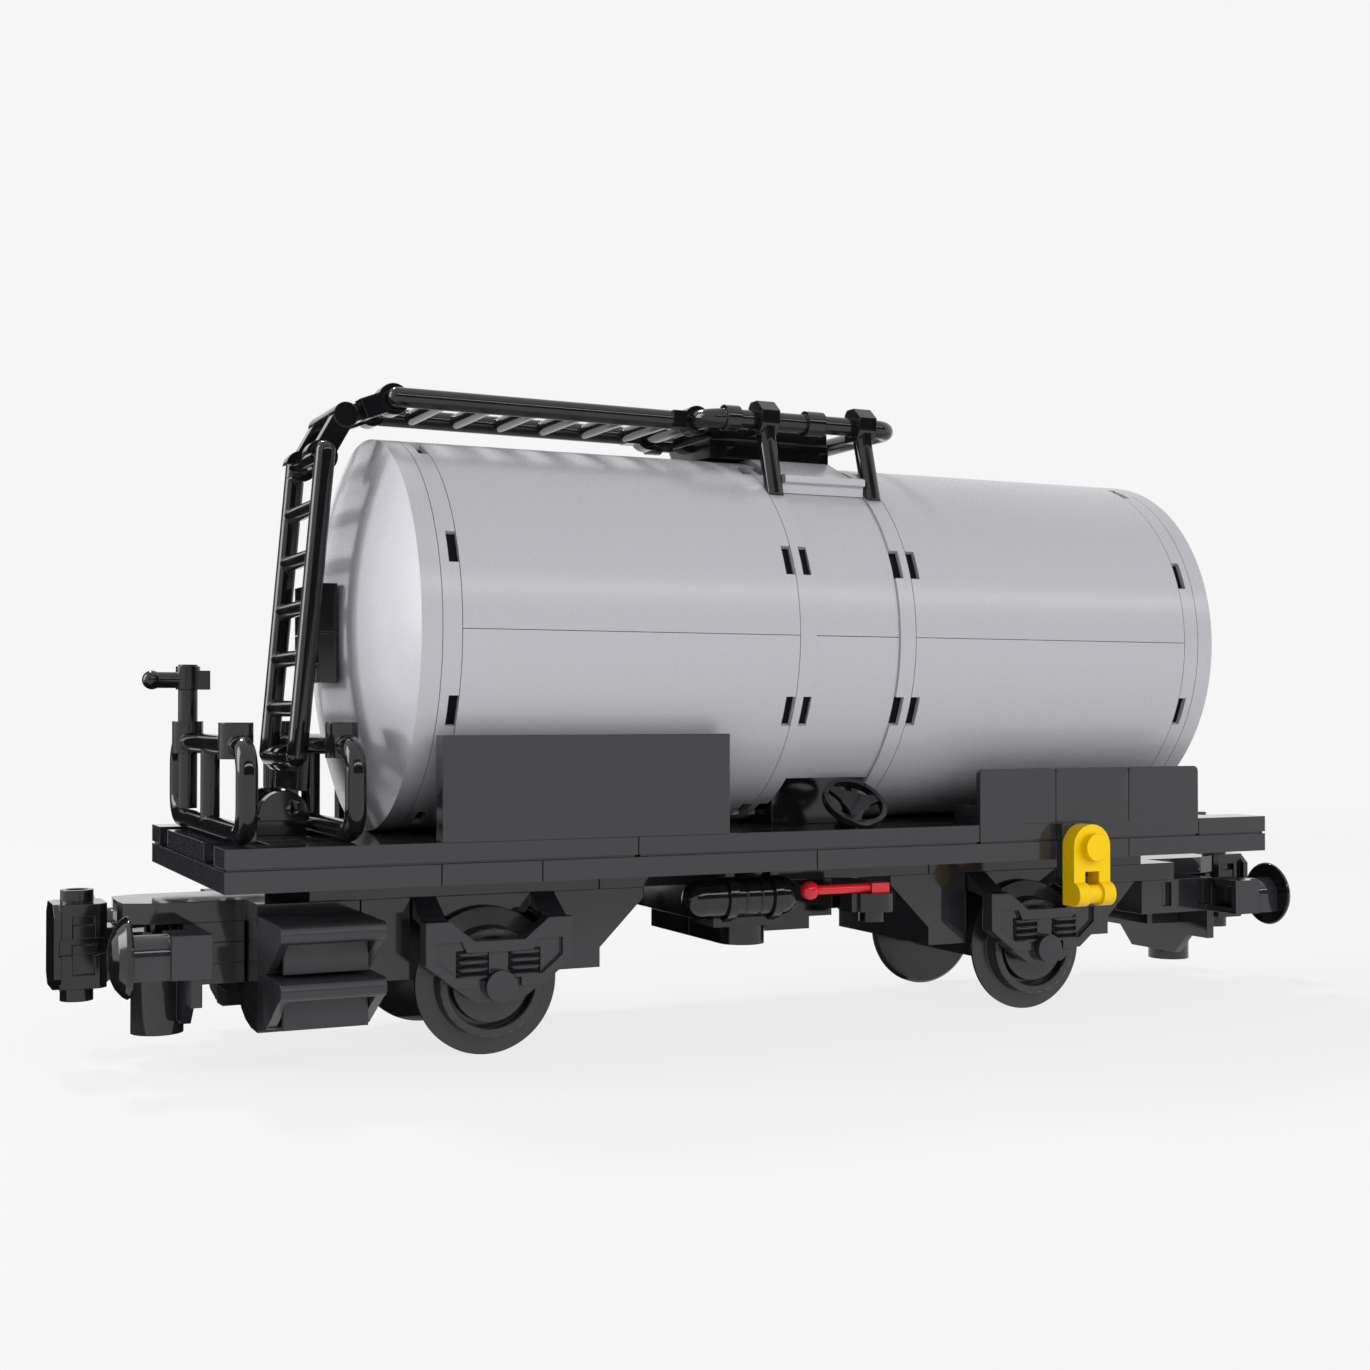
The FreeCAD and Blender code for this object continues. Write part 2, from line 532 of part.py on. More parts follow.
def steps():
    """Two treads with round nosings between slanting cheeks, beside the front buffer beam."""
    x0, x1 = PITCH + 0.2, 3 * PITCH - 0.2
    out, back, nosing, drop = 0.4 - DECK_HALF, GAP - SILL_HALF, 1.42, 8.15
    shapes = [box(x0, x1, back - 1.6, back, SOLE - 19.0, SOLE - 1.75)]
    for k in range(2):
        z = SOLE - 1.75 - drop * k
        shapes.append(box(x0, x1, out + nosing, back - 1.0, z - 1.2, z))
        shapes.append(rod((x0, out + nosing, z - nosing), (x1, out + nosing, z - nosing), nosing))
        riser = ((back - 1.5, z - 1.0), (back - 1.6, z - 2.9), (back - 6.7, z - drop + 0.4),
                 (back - 1.5, z - drop - 0.6))
        shapes.append(prism(riser, "x", x0 + 0.2, x1 - 0.2))
        cheek = ((back - 1.0, z - 0.2), (out + nosing, z - 0.2), (out + 0.3, z - nosing),
                 (out + nosing, z - 2 * nosing), (out + 9.8, z - drop + 0.1), (back - 1.0, z - drop - 0.9))
        shapes += [prism(cheek, "x", a, a + 1.4) for a in (x0, x1 - 1.4)]
    return fuse(*shapes)


# ---- tank -----------------------------------------------------------------
def along_x(x0, x1, r):
    return Part.makeCylinder(r, x1 - x0, V(x0, 0, TANK_Z), V(1, 0, 0))


def panel_slots(x0, x1):
    """Cutters for the notches at the corners of the curved panels, eight round the tank."""
    cutters = []
    for quarter in range(4):
        for low, high in SLOT_ANGLES:
            a, b = math.radians(90 * quarter + low), math.radians(90 * quarter + high)
            corners = ((TANK_R - SLOT_DEEP, a), (TANK_R + 1, a), (TANK_R + 1, b), (TANK_R - SLOT_DEEP, b))
            points = [(r * math.cos(t), TANK_Z + r * math.sin(t)) for r, t in corners]
            cutters.append(prism(points, "x", x0, x1))
    return cutters


def tank_dish():
    """Hollow front dome: a spherical cap on a short rim."""
    rs = (TANK_R ** 2 + DISH_RISE ** 2) / (2 * DISH_RISE)
    rim = TANK_FRONT - DISH_RIM
    centre = V(rim + rs - DISH_RISE, 0, TANK_Z)
    shells = []
    for inset in (0, DISH_WALL):
        cap = Part.makeSphere(rs - inset, centre).common(along_x(rim - 3 * DISH_RISE, rim, TANK_R - inset))
        shells.append(fuse(along_x(rim, TANK_FRONT, TANK_R - inset), cap))
    return shells[0].cut(shells[1])


def tank():
    ring_x = {"front": TANK_FRONT, "band_front": BAND_X[0] - RING_W, "band_rear": BAND_X[1],
              "rear": TANK_REAR - RING_W}
    shells = {"front": (ring_x["front"] + RING_W, ring_x["band_front"]),
              "rear": (ring_x["band_rear"] + RING_W, ring_x["rear"])}
    for end, (x0, x1) in shells.items():
        tube = along_x(x0, x1, TANK_R).cut(along_x(x0, x1, TANK_R - TANK_WALL))
        tube = tube.cut(panel_slots(x1 - SLOT_W, x1) if end == "front" else panel_slots(x0, x0 + SLOT_W))
        reach = TANK_R + 1
        node("tank_upper_" + end, tube.common(box(x0, x1, -reach, reach, TANK_Z + SPLIT, TANK_Z + reach)))
        node("tank_lower_" + end, tube.common(box(x0, x1, -reach, reach, TANK_Z - reach, TANK_Z - SPLIT)))
    rings = []
    for name, x in ring_x.items():
        ring = fuse(along_x(x, x + RING_W, BAND_R),
                    along_x(x + RING_GROOVE, x + RING_W - RING_GROOVE, TANK_R))
        ring = ring.cut(along_x(x - 1, x + RING_W + 1, RING_BORE))
        slot = x + RING_W - SLOT_W if name in ("front", "band_front") else x
        rings.append(ring.cut(panel_slots(slot, slot + SLOT_W)))
    node("tank_rings", *rings)
    front = tank_dish()
    node("tank_dish_front", front)
    rear = front.mirror(V(TANK_MID, 0, 0), V(1, 0, 0))
    node("tank_dish_rear", rear)

    x0, x1 = BAND_X[0] + SPLIT, BAND_X[1] - SPLIT
    slab_z = SLAB_TOP - PLATE
    core = 2 * PITCH - GAP
    band = along_x(x0, x1, BAND_R).cut(along_x(x0, x1, BAND_R - DISH_WALL))
    for name, side in (("left", -1), ("right", 1)):
        y0, y1 = between(side, core + 1.1, TANK_R + 1)
        node("tank_band_" + name, band.common(box(x0, x1, y0, y1, BAND_FOOT, slab_z)))
    slab = math.sqrt(BAND_R ** 2 - (slab_z - TANK_Z) ** 2) + 0.4
    node("tank_core", box(x0, x1, -core, core, 0, slab_z))
    node("tank_top_slab", box(x0, x1, -slab, slab, slab_z, SLAB_TOP))
    saddle = ((-2 * PITCH, SLAB_TOP), (GAP - 2 * PITCH, SLAB_TOP + 0.4), (-PITCH, TANK_TOP),
              (PITCH, TANK_TOP), (2 * PITCH - GAP, SLAB_TOP + 0.4), (2 * PITCH, SLAB_TOP))
    node("tank_top_saddle", prism(saddle, "x", x0, x1))


# ---- deck fittings --------------------------------------------------------
def clear_height(inner, room):
    """Height at which a wall at Y = inner still clears the tank's side by `room`."""
    return TANK_R - math.sqrt(TANK_R ** 2 - (inner - room) ** 2)


def side_panels():
    inner = DECK_HALF - PANEL_T
    tall = box(TANK_FRONT + GAP, TANK_FRONT + TALL_PANEL * PITCH - GAP, -DECK_HALF, -inner,
               0, clear_height(inner, PANEL_ROOM))
    node("side_panel_tall", tall, mirror_y(tall))

    inner = DECK_HALF - PITCH + GAP
    high, wall = clear_height(inner, LOW_ROOM), 1.2
    low = []
    for k in range(LOW_PANELS):
        x0, x1 = TANK_REAR - 2 * PITCH * (k + 1) + GAP, TANK_REAR - 2 * PITCH * k - GAP
        if x0 < HANDWHEEL_X + HANDWHEEL_R + 2:
            continue
        outer = box(x0, x1, GAP - DECK_HALF, -inner, 0, high)
        corners = [e for e in outer.Edges if e.BoundBox.YLength > 1 and e.BoundBox.ZMin > high - 0.1]
        outer = outer.makeFillet(1.0, corners)
        low.append(outer.cut(box(x0 - 1, x1 + 1, GAP + wall - DECK_HALF, 1 - inner, PLATE, high + 1)))
    node("side_panels_low", *low, *[mirror_y(s) for s in low])


def railing(x):
    """Round-bar hoop standing across the deck, with two clip sockets on top."""
    leg, top = DECK_HALF - PITCH / 2, RAIL_HIGH - BAR_R
    post = DECK_HALF - 1.5 * PITCH
    hoop = bent_bar(((x, -leg, BAR_R), (x, -leg, top), (x, leg, top), (x, leg, BAR_R)), BAR_R, RAIL_BEND)
    mid = upright(x, 0, BAR_R, top, BAR_R - 0.1)
    sockets = [upright(x, s * post, RAIL_HIGH - 2 * BAR_R - 0.3, RAIL_HIGH + 1.9, BAR_R + 0.95)
               for s in (-1, 1)]
    body = fuse(fuse(hoop, mid), *sockets)
    return body.cut([upright(x, s * post, RAIL_HIGH - 6, RAIL_HIGH + 6, BAR_R + 0.1) for s in (-1, 1)])


def brake_crank():
    """Crank that stands in a socket of the outer railing."""
    x, y, top = RAIL_X[0], DECK_HALF - 1.5 * PITCH, RAIL_HIGH + 11.4
    post = upright(x, y, 2 * BAR_R + GAP, top, BAR_R)
    collar = upright(x, y, top - 4.2, top - 0.3, BAR_R + 0.4)
    grip = ball_rod((x - 5.9, y, top - 2.6), (x + 1, y, top - 2.6), BAR_R, BAR_R - 0.25)
    lug = box(x, x + 3.4, y - BAR_R, y + BAR_R, top - 4.2, top - 1.0)
    return fuse(fuse(post, collar), grip, lug)


# ---- ladders --------------------------------------------------------------
LADDER_FOOT = (DOME_X - PLATE - 3.8, 12.0)                  # X, Z of the lowest rung
LADDER_HEAD = (DOME_X - PLATE + 0.5, TANK_TOP - 4.0)        # X, Z of the highest rung
ELBOW = (LADDER_HEAD[0] + 3.8, LADDER_HEAD[1] + 6.8)
FIRST_RUNG = (ELBOW[0] + 7.9, HOOP_Z + 0.3)                 # start of the ladder on the roof
LAST_RUNG = (HOOP_X[0] - BAR_R - RUNG_R - 1.7, HOOP_Z)
HINGE_Y = (5.4, LADDER_HALF - BAR_R - 0.2)                  # both hinge arms lie in this range


def ladder(start, stop, ends_at):
    """Two round sides with rungs at an even pitch between two (x, z) points."""
    a, b = V(start[0], 0, start[1]), V(stop[0], 0, stop[1])
    count = int((b - a).Length / RUNG_STEP + 0.5)
    d = (b - a).normalize()
    tail, head = a - d * ends_at[0], b + d * ends_at[1]
    sides = [capsule((tail.x, s * LADDER_HALF, tail.z), (head.x, s * LADDER_HALF, head.z), BAR_R)
             for s in (-1, 1)]
    rungs = [a + (b - a) * (k / count) for k in range(count + 1)]
    return fuse(*sides, *[across(p.x, p.z, -LADDER_HALF, LADDER_HALF, RUNG_R) for p in rungs])


def ladder_foot():
    """Foot of the end ladder: a plate with two round-topped ears, and a board that clips the lowest rung."""
    x, z = LADDER_FOOT
    mid, half, wide = 1.75 * PITCH, PITCH / 2 - GAP, PITCH - GAP
    shapes = [box(mid - half, mid + half, 2 - wide, wide - 2, 0, PLATE),
              box(x + 0.9, x + 2.2, -half / 2, half / 2, PLATE - 0.5, z - 4)]
    for side in (-1, 1):
        y0, y1 = between(side, wide - 2.5, wide)
        disc = across(mid, PLATE, y0, y1, half)
        disc = disc.common(box(mid - half, mid + half, y0, y1, PLATE - 0.8, 3 * PLATE))
        shapes.append(disc.cut(across(mid + 1.3, PLATE + 1.4, y0, y1, 1.2)))
    board = arm((x + 1.35, z - 5), (x + 1.75, z + 1.3), 0.8, 0.1 - wide, wide - 0.1)
    clips = [jaw(x, z, *between(side, 1.4, 3.6), RUNG_R, 0.7) for side in (-1, 1)]
    return fuse(fuse(board, *clips).cut(bar_room(x, z, RUNG_R, 180)), *shapes)


def ladder_bracket():
    """Two blocks on the dome's middle, one above the other."""
    x1 = DOME_X - GAP
    x0 = x1 - PLATE + GAP
    half = PITCH - GAP
    return [box(x0, x1, -half, half, TANK_Z - PITCH + GAP, TANK_Z - SPLIT),
            box(x0, x1, -half, half, TANK_Z + SPLIT, TANK_Z + PITCH - GAP)]


def ladder_hinge_lower():
    """Pair of arms that clip the highest rung and end in the elbow pin."""
    shapes = []
    for side in (-1, 1):
        y0, y1 = between(side, *HINGE_Y)
        shapes += [jaw(*LADDER_HEAD, y0, y1, RUNG_R), arm(LADDER_HEAD, ELBOW, 1.7, y0, y1),
                   across(*ELBOW, *between(side, HINGE_Y[0], HINGE_Y[1] + 0.4), 2.0)]
    arms = fuse(*shapes[:3]).cut(bar_room(*LADDER_HEAD, RUNG_R, 200))
    other = fuse(*shapes[3:]).cut(bar_room(*LADDER_HEAD, RUNG_R, 200))
    return fuse(arms, other, across(*ELBOW, -HINGE_Y[1], HINGE_Y[1], 1.0))


def ladder_hinge_upper():
    """Barrel round the elbow pin, with two cheeks that clip the roof ladder's first rung."""
    start, stop = V(ELBOW[0], 0, ELBOW[1]), V(FIRST_RUNG[0], 0, FIRST_RUNG[1])
    d = (stop - start).normalize()
    root, neck = start + d * 3.2, start + d * 4.6
    wide = HINGE_Y[0] - GAP
    shapes = [across(*ELBOW, -wide, wide, 2.0), arm(ELBOW, (neck.x, neck.z), 1.4, -wide, wide)]
    for side in (-1, 1):
        y0, y1 = between(side, HINGE_Y[0] - 0.6, HINGE_Y[1])
        shapes += [arm((root.x, root.z), FIRST_RUNG, 1.7, y0, y1), jaw(*FIRST_RUNG, y0, y1, RUNG_R)]
    return fuse(*shapes).cut(bar_room(*FIRST_RUNG, RUNG_R, 0) + [across(*ELBOW, -12, 12, 1.0 + BAR_FIT)])


def ladder_top():
    """Roof ladder: its two sides end in clips that hang on the guard hoop's front bar."""
    x, z = HOOP_X[0], HOOP_Z
    wall = CLIP_WALL * 0.7
    back = x - BAR_R - BAR_FIT - wall
    clips = []
    for side in (-1, 1):
        y0, y1 = between(side, LADDER_HALF - BAR_R, LADDER_HALF + BAR_R)
        clip = fuse(jaw(x, z, y0, y1, BAR_R, wall), box(back - 2.0, back + 0.6, y0, y1, z - 1.5, z + 1.5))
        clips.append(clip.cut(bar_room(x, z, BAR_R, -15)))
    return fuse(ladder(FIRST_RUNG, LAST_RUNG, (0.0, back - 2.3 - LAST_RUNG[0])), *clips)


def ladders():
    node("ladder_end", ladder(LADDER_FOOT, LADDER_HEAD, (-0.6, 0.6)))
    node("ladder_foot", ladder_foot())
    node("ladder_bracket", *ladder_bracket())
    node("ladder_hinge_lower", ladder_hinge_lower())
    node("ladder_hinge_upper", ladder_hinge_upper())
    node("ladder_top", ladder_top())


# ---- roof -----------------------------------------------------------------
def guard_leg(x, side):
    """Leg clipped to the guard hoop and standing on one of the tank's rings."""
    y, z = side * HOOP_HALF, HOOP_Z
    foot_y = HOOP_HALF + 4.2
    foot_z = TANK_Z + math.sqrt(TANK_R ** 2 - foot_y ** 2)
    leg = rod((x, side * (HOOP_HALF + 0.9), z - 2.2), (x, side * foot_y, foot_z - 0.8), BAR_R)
    outline = ((-2.2, 2.4), (-1.4, 3.2), (0.9, 3.2), (3.1, 1.4), (3.1, -0.9), (1.9, -2.6), (-2.2, -2.6))
    clamp = prism([(side * (HOOP_HALF + u), z + v) for u, v in outline], "x", x - 1.7, x + 1.7)
    mouth = box(x - 5, x + 5, *between(side, HOOP_HALF - 4, HOOP_HALF), z - 1.1, z + 1.1)
    tab = box(x - 0.8, x + 0.8, *between(side, HOOP_HALF + 1.2, HOOP_HALF + 2.9), z - 4.0, z - 0.4)
    return fuse(clamp.cut(mouth), leg, tab).cut([rod((x - 5, y, z), (x + 5, y, z), BAR_R + BAR_FIT),
                                                 along_x(x - 5, x + 5, TANK_R + 0.05)])


def roof():
    node("filler_box", box(TANK_MID - 2 * PITCH + GAP, TANK_MID + PITCH - GAP, GAP - PITCH, PITCH - GAP,
                           TANK_TOP, TANK_TOP + PLATE))
    (x0, x1), half, z = HOOP_X, HOOP_HALF, HOOP_Z
    hoop = bent_bar(((x0, -half, z), (x1, -half, z), (x1, half, z), (x0, half, z)), BAR_R, RAIL_BEND)
    collars = [rod((x, s * half, z), (x + wide, s * half, z), BAR_R + 0.6)
               for x, wide in ((TANK_MID - 17.3, 2.7), (TANK_MID - 1.6, 3.4)) for s in (-1, 1)]
    node("guard_rail", fuse(hoop, *collars))
    stand = BAND_W / 2 + BAR_R
    node("guard_legs", *[guard_leg(TANK_MID + e * stand, s) for e in (-1, 1) for s in (-1, 1)])


HANDWHEEL_X = TANK_MID + 1.7


def handwheel():
    """Three-spoked valve wheel, drawn facing +Z and then tipped outward."""
    r = HANDWHEEL_R
    rim = upright(0, 0, -0.7, 0.6, r).cut(upright(0, 0, -0.7, 0.6, r - 0.8))
    hub = upright(0, 0, -0.6, 0.4, 2.5)
    spokes = []
    outline = ((1.0, -2.0), (2.9, -1.1), (r - 0.5, -0.7), (r - 0.5, 0.7), (2.9, 1.1), (1.0, 2.0))
    for k in range(3):
        spoke = prism(outline, "z", -0.5, 0.3)
        spoke.rotate(V(0, 0, 0), V(0, 0, 1), 120 * k + 10)
        spokes.append(spoke)
    whole = fuse(rim, hub, upright(0, 0, -7.2, 0, BAR_R - 0.05), *spokes)
    whole.rotate(V(0, 0, 0), V(1, 0, 0), 40)
    whole.translate(V(HANDWHEEL_X, 4.5 - DECK_HALF, 4.15))
    return whole.cut(box(HANDWHEEL_X - 20, HANDWHEEL_X + 20, -DECK_HALF - 9, 0, -9, 0.03))


# ---- underframe -----------------------------------------------------------
def air_reservoir(x0, x1, y, z):
    """Domed cylinder with two turned seams, and the straps that hang it from the deck."""
    r, a, b = TANKLET_R, x0 + TANKLET_R, x1 - TANKLET_R
    bow = r * math.sqrt(0.5)
    middle = (x0 + x1) / 2
    body = [V(a, r, 0)]
    for x in (middle - 0.2, middle + 2.6):
        body += [V(x - 0.25, r, 0), V(x, r - 0.25, 0), V(x + 0.25, r, 0)]
    body.append(V(b, r, 0))
    profile = Part.Wire([Part.Arc(V(x0, 0, 0), V(a - bow, bow, 0), V(a, r, 0)).toShape()]
                        + Part.makePolygon(body).Edges
                        + [Part.Arc(V(b, r, 0), V(b + bow, bow, 0), V(x1, 0, 0)).toShape(),
                           Part.makeLine(V(x1, 0, 0), V(x0, 0, 0))])
    whole = Part.Face(profile).revolve(V(0, 0, 0), V(1, 0, 0), 360)
    whole.translate(V(0, y, z))
    node("air_reservoir", whole)
    straps, places = [], (x0 + TANKLET_L / 3, x0 + TANKLET_L * 0.73)
    for x in places:
        core = rod((x - 1, y, z), (x + 3, y, z), r + STRAP_FIT)
        ring = rod((x, y, z), (x + 1.6, y, z), r + 0.6)
        hanger = box(x, x + 1.6, y - 1.5, y + 1.5, z, -2 * PLATE)
        straps.append(fuse(ring, hanger).cut(core))
    node("reservoir_straps", *straps)
    return places


def underframe():
    x0, x1 = MID - UNDER_L / 2 + GAP, MID + UNDER_L / 2 - GAP
    half = SILL_HALF - GAP
    node("under_blocks", box(x0, x1, -half, half, -5 * PLATE, SOLE))
    node("under_block_lower", box(x0, x1, GAP - PITCH, PITCH - GAP, -6 * PLATE, -5 * PLATE))

    left = MID - 20.4
    y, z = -SILL_HALF - TANKLET_OUT, -3.5 * PLATE
    straps = air_reservoir(left, left + TANKLET_L, y, z)
    r, low, high = PITCH / 2 - GAP, -6 * PLATE, -5 * PLATE
    drum_x, drum_y = x0 + r, -SILL_HALF - PITCH / 2
    seat = box(left + 5.3, left + 18.3, y - 0.4, -SILL_HALF, high, z - TANKLET_R + 0.3)
    seat = seat.cut([rod((left, y, z), (left + TANKLET_L, y, z), TANKLET_R + STRAP_FIT)]
                    + [rod((x - STRAP_FIT, y, z), (x + 1.6 + STRAP_FIT, y, z), TANKLET_R + 0.6 + STRAP_FIT)
                       for x in straps])
    node("under_drum", fuse(upright(drum_x, drum_y, low, high, r),
                            box(drum_x - r, drum_x + r, drum_y, -PITCH - GAP, low, high), seat))

    pin, y = left + TANKLET_L - 0.9 + BAR_R, y - 3.4
    z = z + 0.9
    tip, thick = pin + 13.0, BAR_R / 2 + 0.05
    node("lever_red", fuse(ball_rod((pin, y, z), (tip - 1, y, z), BAR_R, BAR_R / 2),
                           box(tip - 1.6, tip + 1.8, y - 1.2, y + 1.2, z - thick, z + thick)))
    seat = z - thick
    block_end = MID + UNDER_L / 2
    cup = fuse(upright(tip, y + 1.6, seat - 3.2, seat, 3.9),
               box(tip - 4.6, tip - 2.0, y + 0.4, y + 4.4, seat - 3.2, seat),
               box(block_end - 2.4, tip + 1.6, -half - 4.0, -half, seat - 3.2, seat - 0.6),
               box(tip - 1.6, tip + 1.6, y + 1.6, -half, seat - 3.2, seat - 0.6),
               upright(tip, y + 1.6, seat - 5.0, seat - 3.2, 2.2))
    node("lever_base", cup)


def yellow_handle():
    """Plate on the deck's edge with a stud, a window and a short bar between two ears."""
    x0 = DECK_L - 6 * PITCH
    x1, mid = x0 + PITCH, x0 + PITCH / 2
    back, front = -DECK_HALF - PLATE / 2, -DECK_HALF - PLATE * 1.5
    top = -PITCH / 2
    flat = fuse(box(x0 + GAP, x1 - GAP, front, back, -14.2, top),
                across(mid, top, front, back, PITCH / 2 - GAP),
                across(mid, top, front - STUD_H, front, STUD_R))
    flat = flat.cut(box(mid - 1.5, mid + 1.5, front - 4, back + 1, -14.3, -8.3))
    for side in (-1, 1):
        ex0, ex1 = sorted((mid + side * 1.4, mid + side * (PITCH / 2 - GAP)))
        ear = rod((ex0, front + 0.4, -12.2), (ex1, front + 0.4, -12.2), 2.1)
        flat = fuse(flat, ear)
    flat = fuse(flat, rod((mid - 2, front + 0.4, -12.2), (mid + 2, front + 0.4, -12.2), BAR_R))
    return flat, box(x0 + GAP, x1 - GAP, back, -DECK_HALF, -9.4, -GAP)


deck()
sill_brackets()
running_gear()
ends()
near_steps = steps()
node("steps", near_steps, mirror_y(near_steps))
tank()
side_panels()
node("railing_outer", railing(RAIL_X[0]))
node("railing_inner", railing(RAIL_X[1]))
node("brake_crank", brake_crank())
ladders()
roof()
node("valve_wheel", handwheel())
underframe()
handle, bracket = yellow_handle()
node("handle_yellow", handle, half_turn(handle))
node("handle_bracket", bracket, half_turn(bracket))

for name, solids in sorted(PARTS.items()):
    shape = solids[0] if len(solids) == 1 else Part.makeCompound(solids)
    shape.exportStep("parts/" + name + ".step")
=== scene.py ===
"""Looks of a brick-built railway tank car: its moulded plastics, its finer pieces, the stage and the camera."""
import math

import bmesh
import bpy
from bpy.props import FloatProperty, FloatVectorProperty, IntProperty, PointerProperty
from mathutils import Matrix, Vector


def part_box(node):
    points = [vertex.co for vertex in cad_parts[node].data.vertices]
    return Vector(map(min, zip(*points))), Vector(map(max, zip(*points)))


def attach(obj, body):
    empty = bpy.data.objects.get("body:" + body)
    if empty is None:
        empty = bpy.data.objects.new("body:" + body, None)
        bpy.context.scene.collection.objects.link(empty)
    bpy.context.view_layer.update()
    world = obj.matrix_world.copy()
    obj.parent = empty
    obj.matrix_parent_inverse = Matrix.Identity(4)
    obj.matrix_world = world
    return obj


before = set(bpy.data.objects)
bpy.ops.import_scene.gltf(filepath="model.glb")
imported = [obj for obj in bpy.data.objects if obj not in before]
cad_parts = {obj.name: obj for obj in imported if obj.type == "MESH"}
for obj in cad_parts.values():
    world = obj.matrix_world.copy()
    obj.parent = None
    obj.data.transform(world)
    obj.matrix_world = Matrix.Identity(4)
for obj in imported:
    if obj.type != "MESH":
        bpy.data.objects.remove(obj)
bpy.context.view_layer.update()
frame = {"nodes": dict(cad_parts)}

bl_info = {
    "name": "Brick Tank Car",
    "version": (1, 0, 0),
    "blender": (4, 5, 0),
    "location": "View3D > Sidebar > Tank Car",
    "description": "Finishes a brick-built toy tank car and sets its stage",
    "category": "Object",
}

MM = 0.001

# material slots, and the finishes that later operators share
FRAME_BLACK, STEP_BLACK = "moulded ABS frame black", "moulded ABS step black"
# the unlit inside is painted shade: the near-black finish of the blocks set deep in the tank's slots
FITTING_BLACK, SLOT_SHADE_BLACK = "moulded ABS fitting black", "painted shade in the slots"
WHEEL_BLACK, TANK_GREY = "moulded ABS wheel black", "moulded ABS tank grey"


def linear(code):
    """sRGB hex colour as the linear RGBA that Blender stores."""
    parts = [int(code[i:i + 2], 16) / 255 for i in (1, 3, 5)]
    return [p / 12.92 if p <= 0.04045 else ((p + 0.055) / 1.055) ** 2.4 for p in parts] + [1.0]


def colour(name, description, code):
    """Colour that a user can change, from its hex code."""
    return FloatVectorProperty(name=name, description=description, subtype="COLOR", size=4, min=0.0, max=1.0,
                               default=linear(code))


def length(name, description, mm):
    """Length that a user can change, from millimetres."""
    return FloatProperty(name=name, description=description, unit="LENGTH", min=0.0, default=mm * MM)


def watts(name, description, power):
    """Power of a lamp that a user can change."""
    return FloatProperty(name=name, description=description, unit="POWER", min=0.0, default=power)


class TankCarColours(bpy.types.PropertyGroup):
    tank: colour("Tank", "Light bluish grey of the tank's shells and rings", "#AFAEB4")
    # painted sheen: the frame and the wheels are the same black ABS as the fittings, given a lighter dark grey
    # for the bright front that their flat faces mirror
    frame: colour("Frame", "Black of the deck, side frames and panels", "#2A2B2E")
    fittings: colour("Fittings", "Black of ladders, rails and the gear below", "#121315")
    wheels: colour("Wheels", "Black of the wheels", "#2B2C2E")
    lever: colour("Lever", "Red of the brake lever", "#CE1820")
    handle: colour("Handle", "Yellow of the clip plates on the deck's edge", "#F4C900")
    floor: colour("Floor", "Pale floor and backdrop", "#F6F6F6")


class TankCarSurface(bpy.types.PropertyGroup):
    edge: length("Edge radius", "Rounding of the moulded edges", 0.22)
    ripple: length("Ripple length", "Distance between the shallow waves of a moulded wall", 9.0)
    ripple_depth: length("Ripple depth", "Height of those waves", 0.004)
    grain: length("Grain", "Size of the handling marks that dull the gloss", 6.0)


class TankCarPieces(bpy.types.PropertyGroup):
    spring_turns: IntProperty(name="Spring turns", description="Turns of each coil spring", default=4, min=2)
    spring_apart: length("Spring place", "Distance of each spring from the axle, along the wagon", 4.25)
    spring_sunk: length("Spring depth", "Depth of a spring's middle behind the face of the axle box", 1.65)
    spring_wide: length("Spring width", "Length of one turn seen from the side", 4.9)
    spring_pitch: length("Spring pitch", "Height of one turn", 1.2)
    spring_top: length("Spring top", "Height of the top turn above the axle", 5.1)
    tyre: length("Tyre radius", "Radius of the tyre's edge between its notches", 8.35)
    tyre_ring: length("Tyre ring", "Width of the notched ring", 1.15)
    notches: IntProperty(name="Notches", description="Notches round one tyre", default=24, min=3)
    notch_deep: length("Notch depth", "Depth of those notches", 0.2)
    step_rise: length("Step rise", "Height from one step to the next", 8.15)
    step_cheek: length("Step cheek", "Thickness of the cheeks at both ends of the steps", 1.5)
    hatch: length("Hatch height", "Height of the hatch on the filler", 2.3)
    hatch_inset: length("Hatch inset", "Distance of the hatch from the filler's edge", 0.12)
    hatch_edge: length("Hatch rounding", "Radius of the hatch's edges", 0.25)
    seam: length("Seam width", "Width of the seam between two curved panels", 0.12)
    ring: length("Ring width", "Width of one ring round the tank, a plate's height", 3.2)
    slot_wide: length("Slot width", "Width of the slots at the corners of the curved panels", 1.7)
    # the dark inside of a slot is painted shade, near-black blocks from slot_shown down to slot_deep
    slot_shown: length("Slot depth shown", "Depth of grey wall before the dark inside of a slot", 0.8)
    slot_deep: length("Slot depth", "Depth down to which the dark inside reaches", 3.9)


class TankCarStage(bpy.types.PropertyGroup):
    floor_size: length("Floor size", "Width of the round floor", 9000.0)
    floor_near: length("Lit floor", "Distance from the wagon inside which the floor shows its shadow", 260.0)
    key_power: watts("Key power", "Lamp at the ladder end", 4.6)
    strip_power: watts("Strip power", "Narrow lamp above the near side", 1.8)
    end_power: watts("End power", "Softbox at the ladder end", 6.2)
    front_power: watts("Front power", "Softbox before the near side", 7.0)
    top_power: watts("Top power", "Lamp above and behind", 5.0)
    fill: FloatProperty(name="Fill", description="Strength of the even light from all round", default=0.40)


